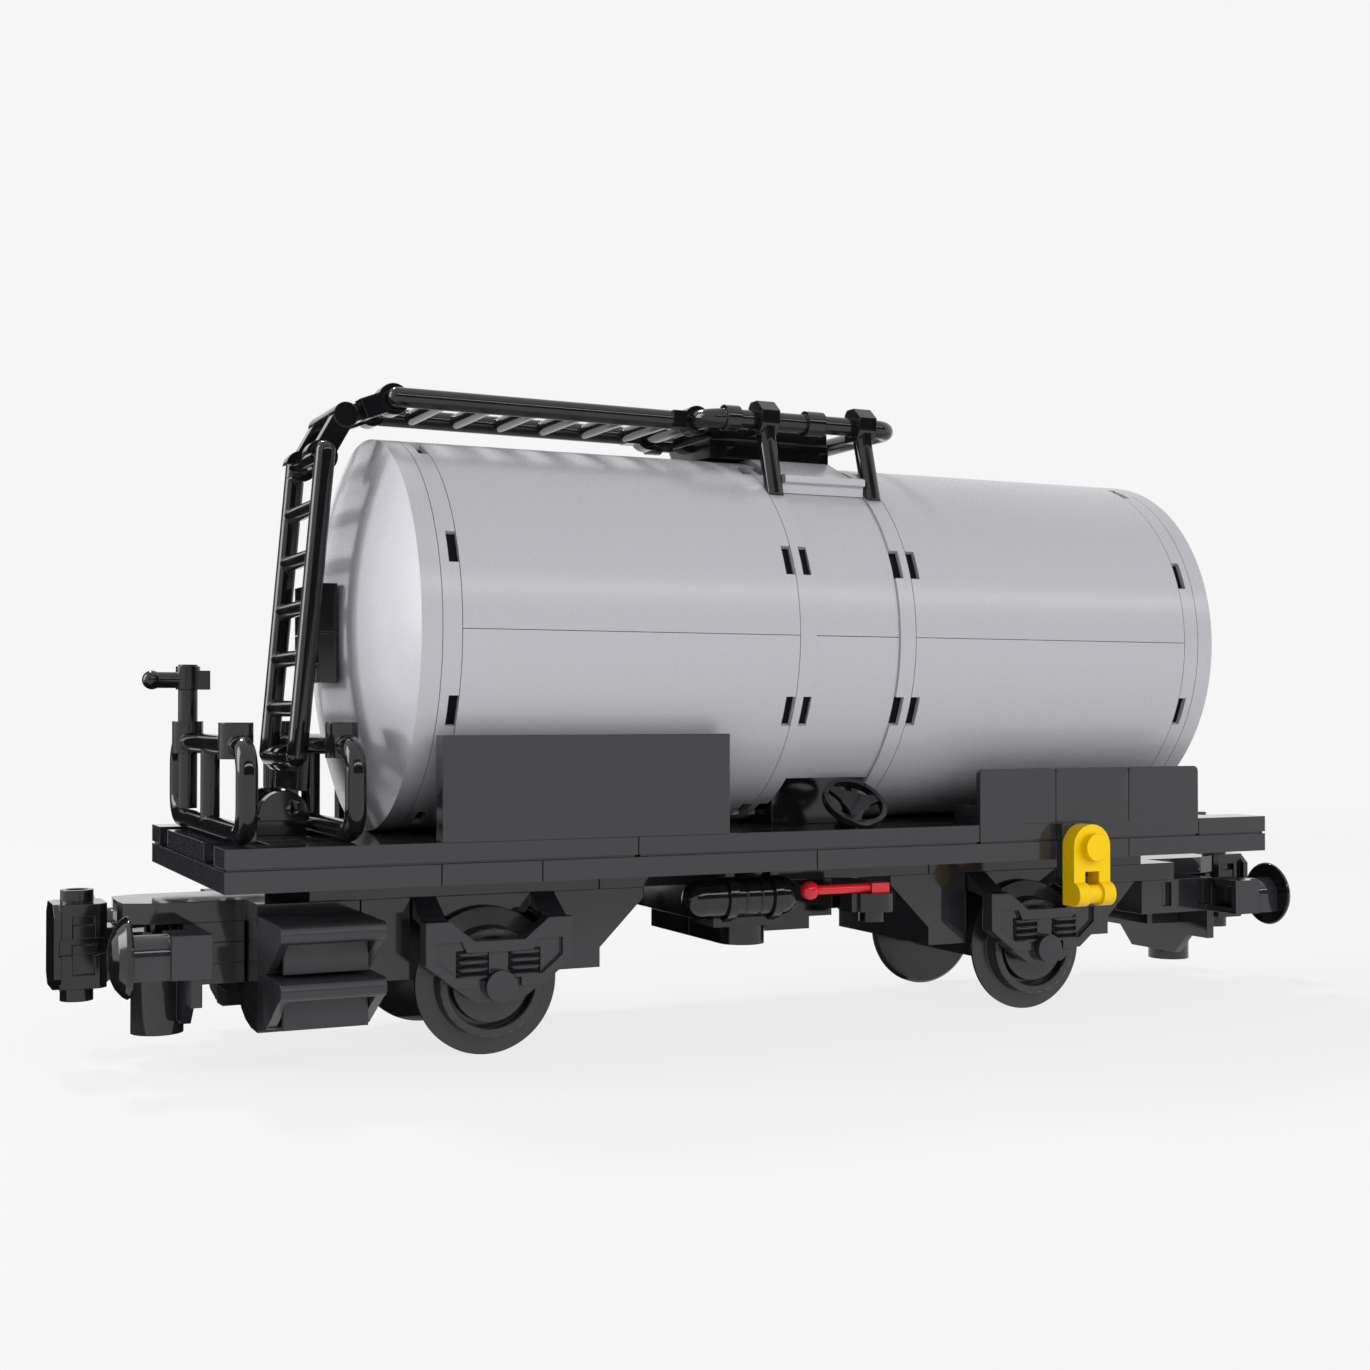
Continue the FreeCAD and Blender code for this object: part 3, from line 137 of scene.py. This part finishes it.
# ---- node trees -----------------------------------------------------------
def add(tree, kind, inputs=None, **settings):
    """Adds one node: settings are its properties, inputs its sockets' values or the sockets that feed them."""
    made = tree.nodes.new(kind)
    for key, value in settings.items():
        setattr(made, key, value)
    for key, value in (inputs or {}).items():
        if isinstance(value, bpy.types.NodeSocket):
            tree.links.new(value, made.inputs[key])
        else:
            made.inputs[key].default_value = value
    return made


def empty_material(name):
    """New material without nodes, and its node tree."""
    material = bpy.data.materials.new(name)
    material.use_nodes = True
    material.node_tree.nodes.clear()
    return material, material.node_tree


def moulded_abs(name, base, gloss, dull, spread=0.05, thick=True, finer=1.0, level=0.5):
    """Injection-moulded ABS from a polished tool: one even colour, a gloss between the two roughnesses that
    handling marks dull in places, and, on thick bricks, round edges and shallow waves where walls cooled.
    finer divides the size of the marks, spread is how far the colour strays."""
    surface = bpy.context.scene.tankcar_surface
    material, tree = empty_material(name)
    place = add(tree, "ShaderNodeTexCoord").outputs["Object"]
    # the colour drifts over about three waves of the wall
    cloud = add(tree, "ShaderNodeTexNoise", {"Vector": place, "Scale": 0.35 / surface.ripple, "Detail": 2.0})
    light, deep = [[min(1.0, c * k) for c in base[:3]] + [1.0] for k in (1 + spread, 1 - spread)]
    tone = add(tree, "ShaderNodeMix", {"Factor": cloud.outputs["Fac"], 6: deep, 7: light}, data_type="RGBA")
    marks = add(tree, "ShaderNodeTexNoise", {"Vector": place, "Scale": finer / surface.grain, "Detail": 1.0})
    # the noise stays within these two values nearly everywhere
    rough = add(tree, "ShaderNodeMapRange", {"Value": marks.outputs["Fac"], "From Min": 0.35, "From Max": 0.75,
                                             "To Min": gloss, "To Max": dull})
    shader = add(tree, "ShaderNodeBsdfPrincipled", {"Base Color": tone.outputs[2], "IOR": 1.54,
                                                    "Roughness": rough.outputs[0], "Specular IOR Level": level})
    if thick:
        wave = add(tree, "ShaderNodeTexNoise", {"Vector": place, "Scale": 1.0 / surface.ripple, "Detail": 1.0})
        edge = add(tree, "ShaderNodeBevel", {"Radius": surface.edge}, samples=6)
        ripple = add(tree, "ShaderNodeBump", {"Height": wave.outputs["Fac"], "Distance": surface.ripple_depth,
                                              "Normal": edge.outputs["Normal"], "Strength": 1.0})
        tree.links.new(ripple.outputs["Normal"], shader.inputs["Normal"])
    add(tree, "ShaderNodeOutputMaterial", {"Surface": shader.outputs["BSDF"]})
    return material


def drawn_steel(name):
    """Drawn steel rod: bright metal with fine draw lines along the axle."""
    material, tree = empty_material(name)
    place = add(tree, "ShaderNodeTexCoord").outputs["Object"]
    across, along = 0.25 * MM, 12 * MM          # size of one draw line
    stretched = add(tree, "ShaderNodeMapping", {"Vector": place, "Scale": (1 / across, 1 / along, 1 / across)})
    lines = add(tree, "ShaderNodeTexNoise", {"Vector": stretched.outputs[0], "Scale": 1.0, "Detail": 2.0})
    rough = add(tree, "ShaderNodeMapRange", {"Value": lines.outputs["Fac"], "To Min": 0.18, "To Max": 0.42})
    shader = add(tree, "ShaderNodeBsdfPrincipled", {"Base Color": linear("#C4C3C0"), "Metallic": 1.0,
                                                    "Roughness": rough.outputs[0]})
    add(tree, "ShaderNodeOutputMaterial", {"Surface": shader.outputs["BSDF"]})
    return material


def paint(material, *names):
    """Gives the CAD nodes their finish."""
    for name in names:
        mesh = frame["nodes"][name].data
        mesh.materials.clear()
        mesh.materials.append(material)


def starting(*heads):
    """Names of the CAD nodes that start with any of these."""
    found = [n for n in frame["nodes"] if n.startswith(heads)]
    if not found:
        raise RuntimeError("no node starts with " + ", ".join(heads))
    return found


# ---- pieces ---------------------------------------------------------------
def middle(name):
    """Middle of a node's box."""
    low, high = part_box(name)
    return [(a + b) / 2 for a, b in zip(low, high)]


def piece(name, build, finish, body, smooth=False):
    """Makes one object from a filled bmesh, with a finish that an earlier operator made, on a body."""
    bmesh.ops.recalc_face_normals(build, faces=build.faces)
    mesh = bpy.data.meshes.new(name)
    build.to_mesh(mesh)
    build.free()
    for face in mesh.polygons:
        face.use_smooth = smooth
    mesh.materials.append(bpy.data.materials[finish])
    made = bpy.data.objects.new(name, mesh)
    bpy.context.scene.collection.objects.link(made)
    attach(made, body)


def loft(build, rings, capped=True):
    """Joins rings of equally many points by quads, and caps both ends or runs round to the first ring."""
    rows = [[build.verts.new(point) for point in ring] for ring in rings]
    pairs = list(zip(rows, rows[1:])) + ([] if capped else [(rows[-1], rows[0])])
    for low, high in pairs:
        for i in range(len(low)):
            j = (i + 1) % len(low)
            build.faces.new((low[i], low[j], high[j], high[i]))
    if capped:
        build.faces.new(rows[0])
        build.faces.new(rows[-1])


def bevelled(build, low, high, radius):
    """Block with rounded edges between two corners."""
    size = [b - a for a, b in zip(low, high)]
    centre = [(a + b) / 2 for a, b in zip(low, high)]
    cube = bmesh.ops.create_cube(build, size=1.0, matrix=Matrix.LocRotScale(Vector(centre), None, Vector(size)))
    edges = list({edge for vert in cube["verts"] for edge in vert.link_edges})
    bmesh.ops.bevel(build, geom=edges, offset=radius, segments=3, profile=0.5, affect="EDGES")


# ---- operators ------------------------------------------------------------
class TANKCAR_OT_tank(bpy.types.Operator):
    """Finish the tank's shells, rings, domes, band and saddle"""
    bl_idname = "tankcar.tank"
    bl_label = "Tank"

    def execute(self, context):
        colours = context.scene.tankcar_colours
        names = [n for n in starting("tank_") if n != "tank_core"]
        # marks this fine melt into one even sheen, as the thin grey shells have
        grey = moulded_abs(TANK_GREY, colours.tank, gloss=0.26, dull=0.29, spread=0.002, thick=False,
                           finer=40.0)
        paint(grey, *names)
        return {"FINISHED"}


class TANKCAR_OT_frame(bpy.types.Operator):
    """Finish the deck, sill, side frames, panels, nose plates, buffer beams and steps"""
    bl_idname = "tankcar.frame"
    bl_label = "Deck and frame"

    def execute(self, context):
        colours = context.scene.tankcar_colours
        names = starting("deck_", "sill_", "side_", "axle_frame", "nose_", "buffer_beam", "handle_bracket")
        # colours.frame is black lightened to dark grey as painted sheen, and also colours the steps
        paint(moulded_abs(FRAME_BLACK, colours.frame, gloss=0.05, dull=0.10), *names)
        # a duller gloss, which spreads the shine along the round nosings of the steps
        paint(moulded_abs(STEP_BLACK, colours.frame, gloss=0.32, dull=0.40), "steps")
        return {"FINISHED"}


class TANKCAR_OT_fittings(bpy.types.Operator):
    """Finish the ladders, rails, couplings, buffers and the gear under the deck"""
    bl_idname = "tankcar.fittings"
    bl_label = "Fittings"

    def execute(self, context):
        colours = context.scene.tankcar_colours
        names = starting("ladder_", "railing_", "guard_", "brake_", "filler_", "valve_", "coupling_",
                         "buffer_discs", "under_", "air_", "reservoir_", "lever_base", "tank_core")
        paint(moulded_abs(FITTING_BLACK, colours.fittings, gloss=0.08, dull=0.14), *names)
        paint(moulded_abs("moulded ABS lever red", colours.lever, gloss=0.10, dull=0.16), "lever_red")
        # a lower specular level keeps the yellow from paling under the lamps
        yellow = moulded_abs("moulded ABS handle yellow", colours.handle, gloss=0.24, dull=0.32, spread=0.02,
                             level=0.2)
        paint(yellow, "handle_yellow")
        # painted shade: a near-black, barely reflecting finish for the blocks set in the slots, standing for
        # the black bricks inside the tank and the shade there, which light hardly reaches through the slots
        moulded_abs(SLOT_SHADE_BLACK, linear("#08080A"), gloss=0.6, dull=0.7, thick=False, level=0.1)
        return {"FINISHED"}


class TANKCAR_OT_wheels(bpy.types.Operator):
    """Finish the wheels and their steel axles"""
    bl_idname = "tankcar.wheels"
    bl_label = "Wheels"

    def execute(self, context):
        colours = context.scene.tankcar_colours
        # colours.wheels is black lightened to dark grey as painted sheen of the wheels' faces
        paint(moulded_abs(WHEEL_BLACK, colours.wheels, gloss=0.16, dull=0.24), *starting("wheels_"))
        paint(drawn_steel("drawn steel axle"), "axle_front", "axle_rear")
        return {"FINISHED"}


class TANKCAR_OT_springs(bpy.types.Operator):
    """Lay the lens-shaped turns of the coil springs into the pockets of the side frames"""
    bl_idname = "tankcar.springs"
    bl_label = "Springs"

    def execute(self, context):
        pieces = context.scene.tankcar_pieces
        pitch = pieces.spring_pitch
        half, thick = pieces.spring_wide / 2, 0.42 * pitch      # leaves a thin dark gap between two turns
        for end in ("front", "rear"):
            x, _, z = middle("wheels_" + end)
            y = -(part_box("axle_frame_" + end)[0][1] + pieces.spring_sunk)
            build = bmesh.new()
            for side in (-1, 1):
                for along in (-1, 1):
                    for number in range(pieces.spring_turns):
                        height = z + pieces.spring_top - pitch * number
                        self.turn(build, x + along * pieces.spring_apart, side * y, height, half, thick)
            piece("axle_springs_" + end, build, FRAME_BLACK, "wagon", smooth=True)
        return {"FINISHED"}

    def turn(self, build, x, y, z, half, thick):
        """One turn seen from the side: thick in the middle, thin at its round ends."""
        stations, corners = 12, 10
        blunt, depth = 0.45, 1.9        # how fast the ends thicken, and the turn's depth for its height
        rings = []
        for i in range(1, stations):
            t = math.pi * i / stations
            r = thick * math.sin(t) ** blunt
            rings.append([(x - half * math.cos(t), y + depth * r * math.cos(a), z + r * math.sin(a))
                          for a in [math.tau * k / corners for k in range(corners)]])
        loft(build, rings)


class TANKCAR_OT_tyres(bpy.types.Operator):
    """Set a notched ring on the outer edge of every tyre"""
    bl_idname = "tankcar.tyres"
    bl_label = "Tyre rings"

    # outline of one notch and the land beside it: share of the way to the next notch, and rise
    NOTCH = ((0.0, 0.0), (0.10, 1.0), (0.38, 1.0), (0.66, 1.0), (0.76, 0.0), (0.88, 0.0))
    # section from the outer foot over the chamfered face to the inner foot, in mm: whether the point is on the
    # notched outside, its distance out of the tyre's face, and how far it is cut back from that side
    SECTION = ((True, -0.7, 0.0), (True, -0.05, 0.0), (True, 0.12, -0.17),
               (False, 0.12, 0.15), (False, -0.05, 0.0), (False, -0.7, 0.0))

    def execute(self, context):
        pieces = context.scene.tankcar_pieces
        for end in ("front", "rear"):
            x, _, z = middle("wheels_" + end)
            low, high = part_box("wheels_" + end)
            build = bmesh.new()
            for side, face in ((-1, low[1]), (1, high[1])):
                self.ring(build, x, z, side, face, pieces)
            piece("tyre_rings_" + end, build, WHEEL_BLACK, "wheelset_" + end)
        return {"FINISHED"}

    def ring(self, build, x, z, side, face, pieces):
        outline = [(math.tau * (k + share) / pieces.notches, pieces.tyre + rise * pieces.notch_deep)
                   for k in range(pieces.notches) for share, rise in self.NOTCH]
        inner = pieces.tyre - pieces.tyre_ring
        rings = []
        for outside, out, cut in self.SECTION:
            radii = [(outer if outside else inner) + cut * MM for _, outer in outline]
            rings.append([(x + r * math.cos(a), face + side * out * MM, z + r * math.sin(a))
                          for (a, _), r in zip(outline, radii)])
        loft(build, rings, capped=False)


class TANKCAR_OT_steps(bpy.types.Operator):
    """Set the upright risers between the cheeks of the steps"""
    bl_idname = "tankcar.steps"
    bl_label = "Step risers"

    # section of one riser, in mm: depth behind the nosings and height above the step's top
    SECTION = ((4.9, -2.4), (4.9, -7.6), (6.0, -7.6), (6.0, -2.4))

    def execute(self, context):
        pieces = context.scene.tankcar_pieces
        low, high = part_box("steps")
        ends = (low[0] + pieces.step_cheek, high[0] - pieces.step_cheek)
        build = bmesh.new()
        for side in (-1, 1):
            for top in (high[2], high[2] - pieces.step_rise):
                loft(build, [[(x, side * (-low[1] - y * MM), top + z * MM) for y, z in self.SECTION]
                             for x in ends])
        piece("step_risers", build, STEP_BLACK, "wagon")
        return {"FINISHED"}


class TANKCAR_OT_roof(bpy.types.Operator):
    """Close the filler with its hatch, edge the saddle and draw the band's seams, black as painted shade of
    their gaps
    """
    bl_idname = "tankcar.roof"
    bl_label = "Hatch and seams"

    # section of a saddle lip, in mm: distance out of the slab's side and height above its top
    LIP = ((0.0, 0.05), (0.85, -0.25), (0.9, -1.3), (0.7, -1.45), (0.0, -1.5))
    LIP_INSET = 0.1 * MM
    # section of a seam: distance out of the band in mm, and share of half the seam's width
    SEAM = ((-0.3, -1.0), (0.015, -1.0), (0.03, 0.0), (0.015, 1.0), (-0.3, 1.0))

    def execute(self, context):
        pieces = context.scene.tankcar_pieces
        self.hatch(pieces)
        self.lips()
        self.seams(pieces)
        return {"FINISHED"}

    def hatch(self, pieces):
        low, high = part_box("filler_box")
        inset, top = pieces.hatch_inset, high[2]
        build = bmesh.new()
        bevelled(build, (low[0] + inset, low[1] + inset, top),
                 (high[0] - inset, high[1] - inset, top + pieces.hatch), pieces.hatch_edge)
        piece("filler_hatch", build, FITTING_BLACK, "wagon")

    def lips(self):
        low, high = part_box("tank_top_slab")
        ends = (low[0] + self.LIP_INSET, high[0] - self.LIP_INSET)
        build = bmesh.new()
        for side in (-1, 1):
            loft(build, [[(x, side * (high[1] + y * MM), high[2] + z * MM) for y, z in self.LIP] for x in ends])
        piece("saddle_lips", build, TANK_GREY, "wagon")

    def seams(self, pieces):
        low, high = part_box("tank_band_left")
        reach = max(-low[1], high[1])
        z, half = middle("tank_rings")[2], pieces.seam / 2
        build = bmesh.new()
        for side in (-1, 1):
            loft(build, [[(x, side * (reach + y * MM), z + share * half) for y, share in self.SEAM]
                         for x in (low[0], high[0])])
        # the seam is real, and its black is painted shade for the dark gap between the band's grey panels
        piece("band_seams_painted_shade", build, FITTING_BLACK, "wagon")


class TANKCAR_OT_notches(bpy.types.Operator):
    """Line the slots at the corners of the curved panels with near-black blocks, painted shade for the dark
    inside they open on
    """
    bl_idname = "tankcar.notches"
    bl_label = "Notch linings"

    # where the two slots of each quarter of the tank start and end, in degrees, just inside their walls
    ANGLES = ((18.5, 27.5), (62.5, 71.5))
    GAP = 0.03 * MM                             # clearance between a lining and the slot's side walls

    def execute(self, context):
        pieces = context.scene.tankcar_pieces
        low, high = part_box("tank_rings")
        z, radius = middle("tank_rings")[2], (high[2] - low[2]) / 2
        foot, top = radius - pieces.slot_deep, radius - pieces.slot_shown
        ring, wide = pieces.ring, pieces.slot_wide
        front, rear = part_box("tank_upper_front")[1][0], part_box("tank_upper_rear")[0][0]
        starts = (low[0] + ring - wide, front - wide, front + ring - wide, rear - ring, rear, high[0] - ring)
        build = bmesh.new()
        for x in starts:
            for quarter in range(4):
                for angles in self.ANGLES:
                    first, last = [math.radians(90 * quarter + a) for a in angles]
                    corners = ((foot, first), (top, first), (top, last), (foot, last))
                    loft(build, [[(x + along, r * math.cos(a), z + r * math.sin(a)) for r, a in corners]
                                 for along in (self.GAP, wide - self.GAP)])
        # the linings are painted shade: near-black blocks set in the slots where the dark of the deep inside
        # falls
        piece("notch_painted_shade", build, SLOT_SHADE_BLACK, "wagon")
        return {"FINISHED"}


class TANKCAR_OT_stage(bpy.types.Operator):
    """Set the floor, the backdrop, the lamps and the camera"""
    bl_idname = "tankcar.stage"
    bl_label = "Stage"

    AIM = (0.0, 0.0, 0.06)          # point that every lamp faces
    PAPER, GLOW = 0.12, 0.86        # shares of the floor's white that are lit paper and its own glow
    FADE = 3.2                      # the floor is plain white from this many times floor_near on
    # black cards as quads in metres: one behind the ladder end, which runs forward over the floor, and one that
    # hangs before the near side
    CARDS = {
        "back_flag": (
            ((-0.25, 0.20, 0.001), (-0.105, 0.20, 0.001), (-0.105, 0.20, 0.26), (-0.25, 0.20, 0.26)),
            ((-0.25, -0.015, 0.001), (0.06, -0.015, 0.001), (-0.02, 0.20, 0.001), (-0.25, 0.20, 0.001))),
        "front_flag": (
            ((-0.90, -0.95, 0.09), (1.60, -0.75, 0.09), (1.60, -0.75, 0.80), (-0.90, -0.95, 0.80)),),
    }

    def execute(self, context):
        scene = context.scene
        stage, colours = scene.tankcar_stage, scene.tankcar_colours
        self.floor(scene, stage, colours)
        self.world(scene, stage, colours)
        # name, place and size in metres, power, and whether reflections show it
        lamps = (("key lamp", (-1.00, 0.36, 0.30), (0.12, 0.16), stage.key_power, False),
                 ("end softbox", (-0.95, 0.28, 0.46), (0.45, 0.80), stage.end_power, True),
                 ("front strip", (0.10, -0.68, 0.42), (1.40, 0.08), stage.strip_power, True),
                 ("front softbox", (0.45, -1.15, 0.37), (1.50, 0.72), stage.front_power, False),
                 ("top lamp", (-0.15, 0.60, 0.88), (0.12, 0.12), stage.top_power, True))
        for name, at, size, power, mirrored in lamps:
            self.lamp(scene, name, at, size, power, mirrored)
        self.flags(scene)
        self.camera(scene)
        scene.view_settings.view_transform = "Standard"
        return {"FINISHED"}

    def lamp(self, scene, name, at, size, power, mirrored):
        lamp = bpy.data.lights.new(name, "AREA")
        lamp.shape, lamp.energy = "RECTANGLE", power
        lamp.size, lamp.size_y = size
        holder = bpy.data.objects.new(name, lamp)
        holder.location = at
        holder.rotation_euler = (Vector(self.AIM) - holder.location).to_track_quat("-Z", "Y").to_euler()
        holder.visible_glossy = mirrored
        scene.collection.objects.link(holder)

    def shown(self, tree):
        """1 for the rays that show the backdrop's white, to the eye or in a reflection, and 0 for light."""
        ray = add(tree, "ShaderNodeLightPath")
        seen = add(tree, "ShaderNodeMath", {0: ray.outputs["Is Camera Ray"], 1: ray.outputs["Is Glossy Ray"]},
                   operation="MAXIMUM")
        seen = add(tree, "ShaderNodeMath", {0: seen.outputs[0], 1: ray.outputs["Is Transmission Ray"]},
                   operation="MAXIMUM")
        return seen.outputs[0]

    def floor(self, scene, stage, colours):
        """Wide round floor of matt paper, which takes the wagon's shadow and runs out into the backdrop's own
        white. To the light it is plain pale grey paper."""
        disc = bmesh.new()
        bmesh.ops.create_circle(disc, cap_ends=True, radius=stage.floor_size / 2, segments=96)
        mesh = bpy.data.meshes.new("studio_floor")
        disc.to_mesh(mesh)
        disc.free()
        floor = bpy.data.objects.new("studio_floor", mesh)
        scene.collection.objects.link(floor)
        material, tree = empty_material("matt backdrop paper")
        place = add(tree, "ShaderNodeTexCoord").outputs["Object"]
        reach = add(tree, "ShaderNodeVectorMath", {0: place}, operation="LENGTH")
        far = add(tree, "ShaderNodeMapRange", {"Value": reach.outputs["Value"], "From Min": stage.floor_near,
                                               "From Max": self.FADE * stage.floor_near, "To Min": 0.0,
                                               "To Max": 1.0}, interpolation_type="SMOOTHSTEP")
        lit = [c * self.PAPER for c in colours.floor[:3]] + [1.0]
        paper = add(tree, "ShaderNodeBsdfDiffuse", {"Color": lit})
        glow = add(tree, "ShaderNodeEmission", {"Color": colours.floor, "Strength": self.GLOW})
        near = add(tree, "ShaderNodeAddShader", {0: paper.outputs[0], 1: glow.outputs[0]})
        white = add(tree, "ShaderNodeEmission", {"Color": colours.floor, "Strength": 1.0})
        face = add(tree, "ShaderNodeMixShader", {0: far.outputs[0], 1: near.outputs[0], 2: white.outputs[0]})
        grey = add(tree, "ShaderNodeBsdfDiffuse", {"Color": linear("#E8E8E8")})
        mix = add(tree, "ShaderNodeMixShader", {0: self.shown(tree), 1: grey.outputs[0], 2: face.outputs[0]})
        add(tree, "ShaderNodeOutputMaterial", {"Surface": mix.outputs[0]})
        mesh.materials.append(material)

    def flags(self, scene):
        """Black cards shown only to reflections, as is usual round glossy black goods."""
        material, tree = empty_material("black velvet card")
        cloth = add(tree, "ShaderNodeBsdfDiffuse", {"Color": linear("#0A0A0A")})
        add(tree, "ShaderNodeOutputMaterial", {"Surface": cloth.outputs[0]})
        for name, sheets in self.CARDS.items():
            card = bmesh.new()
            for sheet in sheets:
                card.faces.new([card.verts.new(corner) for corner in sheet])
            mesh = bpy.data.meshes.new(name)
            card.to_mesh(mesh)
            card.free()
            mesh.materials.append(material)
            flag = bpy.data.objects.new(name, mesh)
            flag.visible_camera = flag.visible_diffuse = flag.visible_shadow = flag.visible_transmission = False
            scene.collection.objects.link(flag)

    def world(self, scene, stage, colours):
        """Even light from all round, which the eye and reflections see as the backdrop's white."""
        world = bpy.data.worlds.new("studio")
        world.use_nodes = True
        tree = world.node_tree
        tree.nodes.clear()
        around = add(tree, "ShaderNodeBackground", {"Color": colours.floor, "Strength": stage.fill})
        white = add(tree, "ShaderNodeBackground", {"Color": colours.floor, "Strength": 1.0})
        mix = add(tree, "ShaderNodeMixShader", {0: self.shown(tree), 1: around.outputs[0], 2: white.outputs[0]})
        add(tree, "ShaderNodeOutputWorld", {"Surface": mix.outputs[0]})
        scene.world = world

    def camera(self, scene):
        """Eye at the deck's height before the ladder end, turned by yaw from straight across the wagon."""
        lens = bpy.data.cameras.new("camera")
        lens.sensor_width, lens.lens = 36.0, 47.208
        lens.clip_start, lens.clip_end = 0.01, 20.0
        camera = bpy.data.objects.new("camera", lens)
        camera.location = (-0.145893, -0.289073, 0.054356)
        yaw, pitch = 0.442583, 0.014661
        look = Vector((math.sin(yaw) * math.cos(pitch), math.cos(yaw) * math.cos(pitch), math.sin(pitch)))
        camera.rotation_euler = look.to_track_quat("-Z", "Y").to_euler()
        scene.collection.objects.link(camera)
        scene.camera = camera


OPERATORS = (TANKCAR_OT_tank, TANKCAR_OT_frame, TANKCAR_OT_fittings, TANKCAR_OT_wheels, TANKCAR_OT_springs,
             TANKCAR_OT_tyres, TANKCAR_OT_steps, TANKCAR_OT_roof, TANKCAR_OT_notches, TANKCAR_OT_stage)


class TANKCAR_PT_panel(bpy.types.Panel):
    """Lists the wagon's pieces, sizes and colours"""
    bl_idname = "TANKCAR_PT_panel"
    bl_label = "Tank Car"
    bl_space_type = "VIEW_3D"
    bl_region_type = "UI"
    bl_category = "Tank Car"

    def draw(self, context):
        for operator in OPERATORS:
            self.layout.operator(operator.bl_idname)
        for group, _ in GROUPS:
            settings = getattr(context.scene, group)
            column = self.layout.column()
            for name in settings.__annotations__:
                column.prop(settings, name)


GROUPS = (("tankcar_colours", TankCarColours), ("tankcar_surface", TankCarSurface),
          ("tankcar_pieces", TankCarPieces), ("tankcar_stage", TankCarStage))


def register():
    for name, group in GROUPS:
        bpy.utils.register_class(group)
        setattr(bpy.types.Scene, name, PointerProperty(type=group))
    for cls in OPERATORS + (TANKCAR_PT_panel,):
        bpy.utils.register_class(cls)


def unregister():
    for cls in reversed(OPERATORS + (TANKCAR_PT_panel,)):
        bpy.utils.unregister_class(cls)
    for name, group in reversed(GROUPS):
        delattr(bpy.types.Scene, name)
        bpy.utils.unregister_class(group)


def main():
    register()
    for operator in OPERATORS:
        getattr(bpy.ops.tankcar, operator.bl_idname.split(".")[1])()
    bpy.context.view_layer.update()


if __name__ == "__main__":
    main()
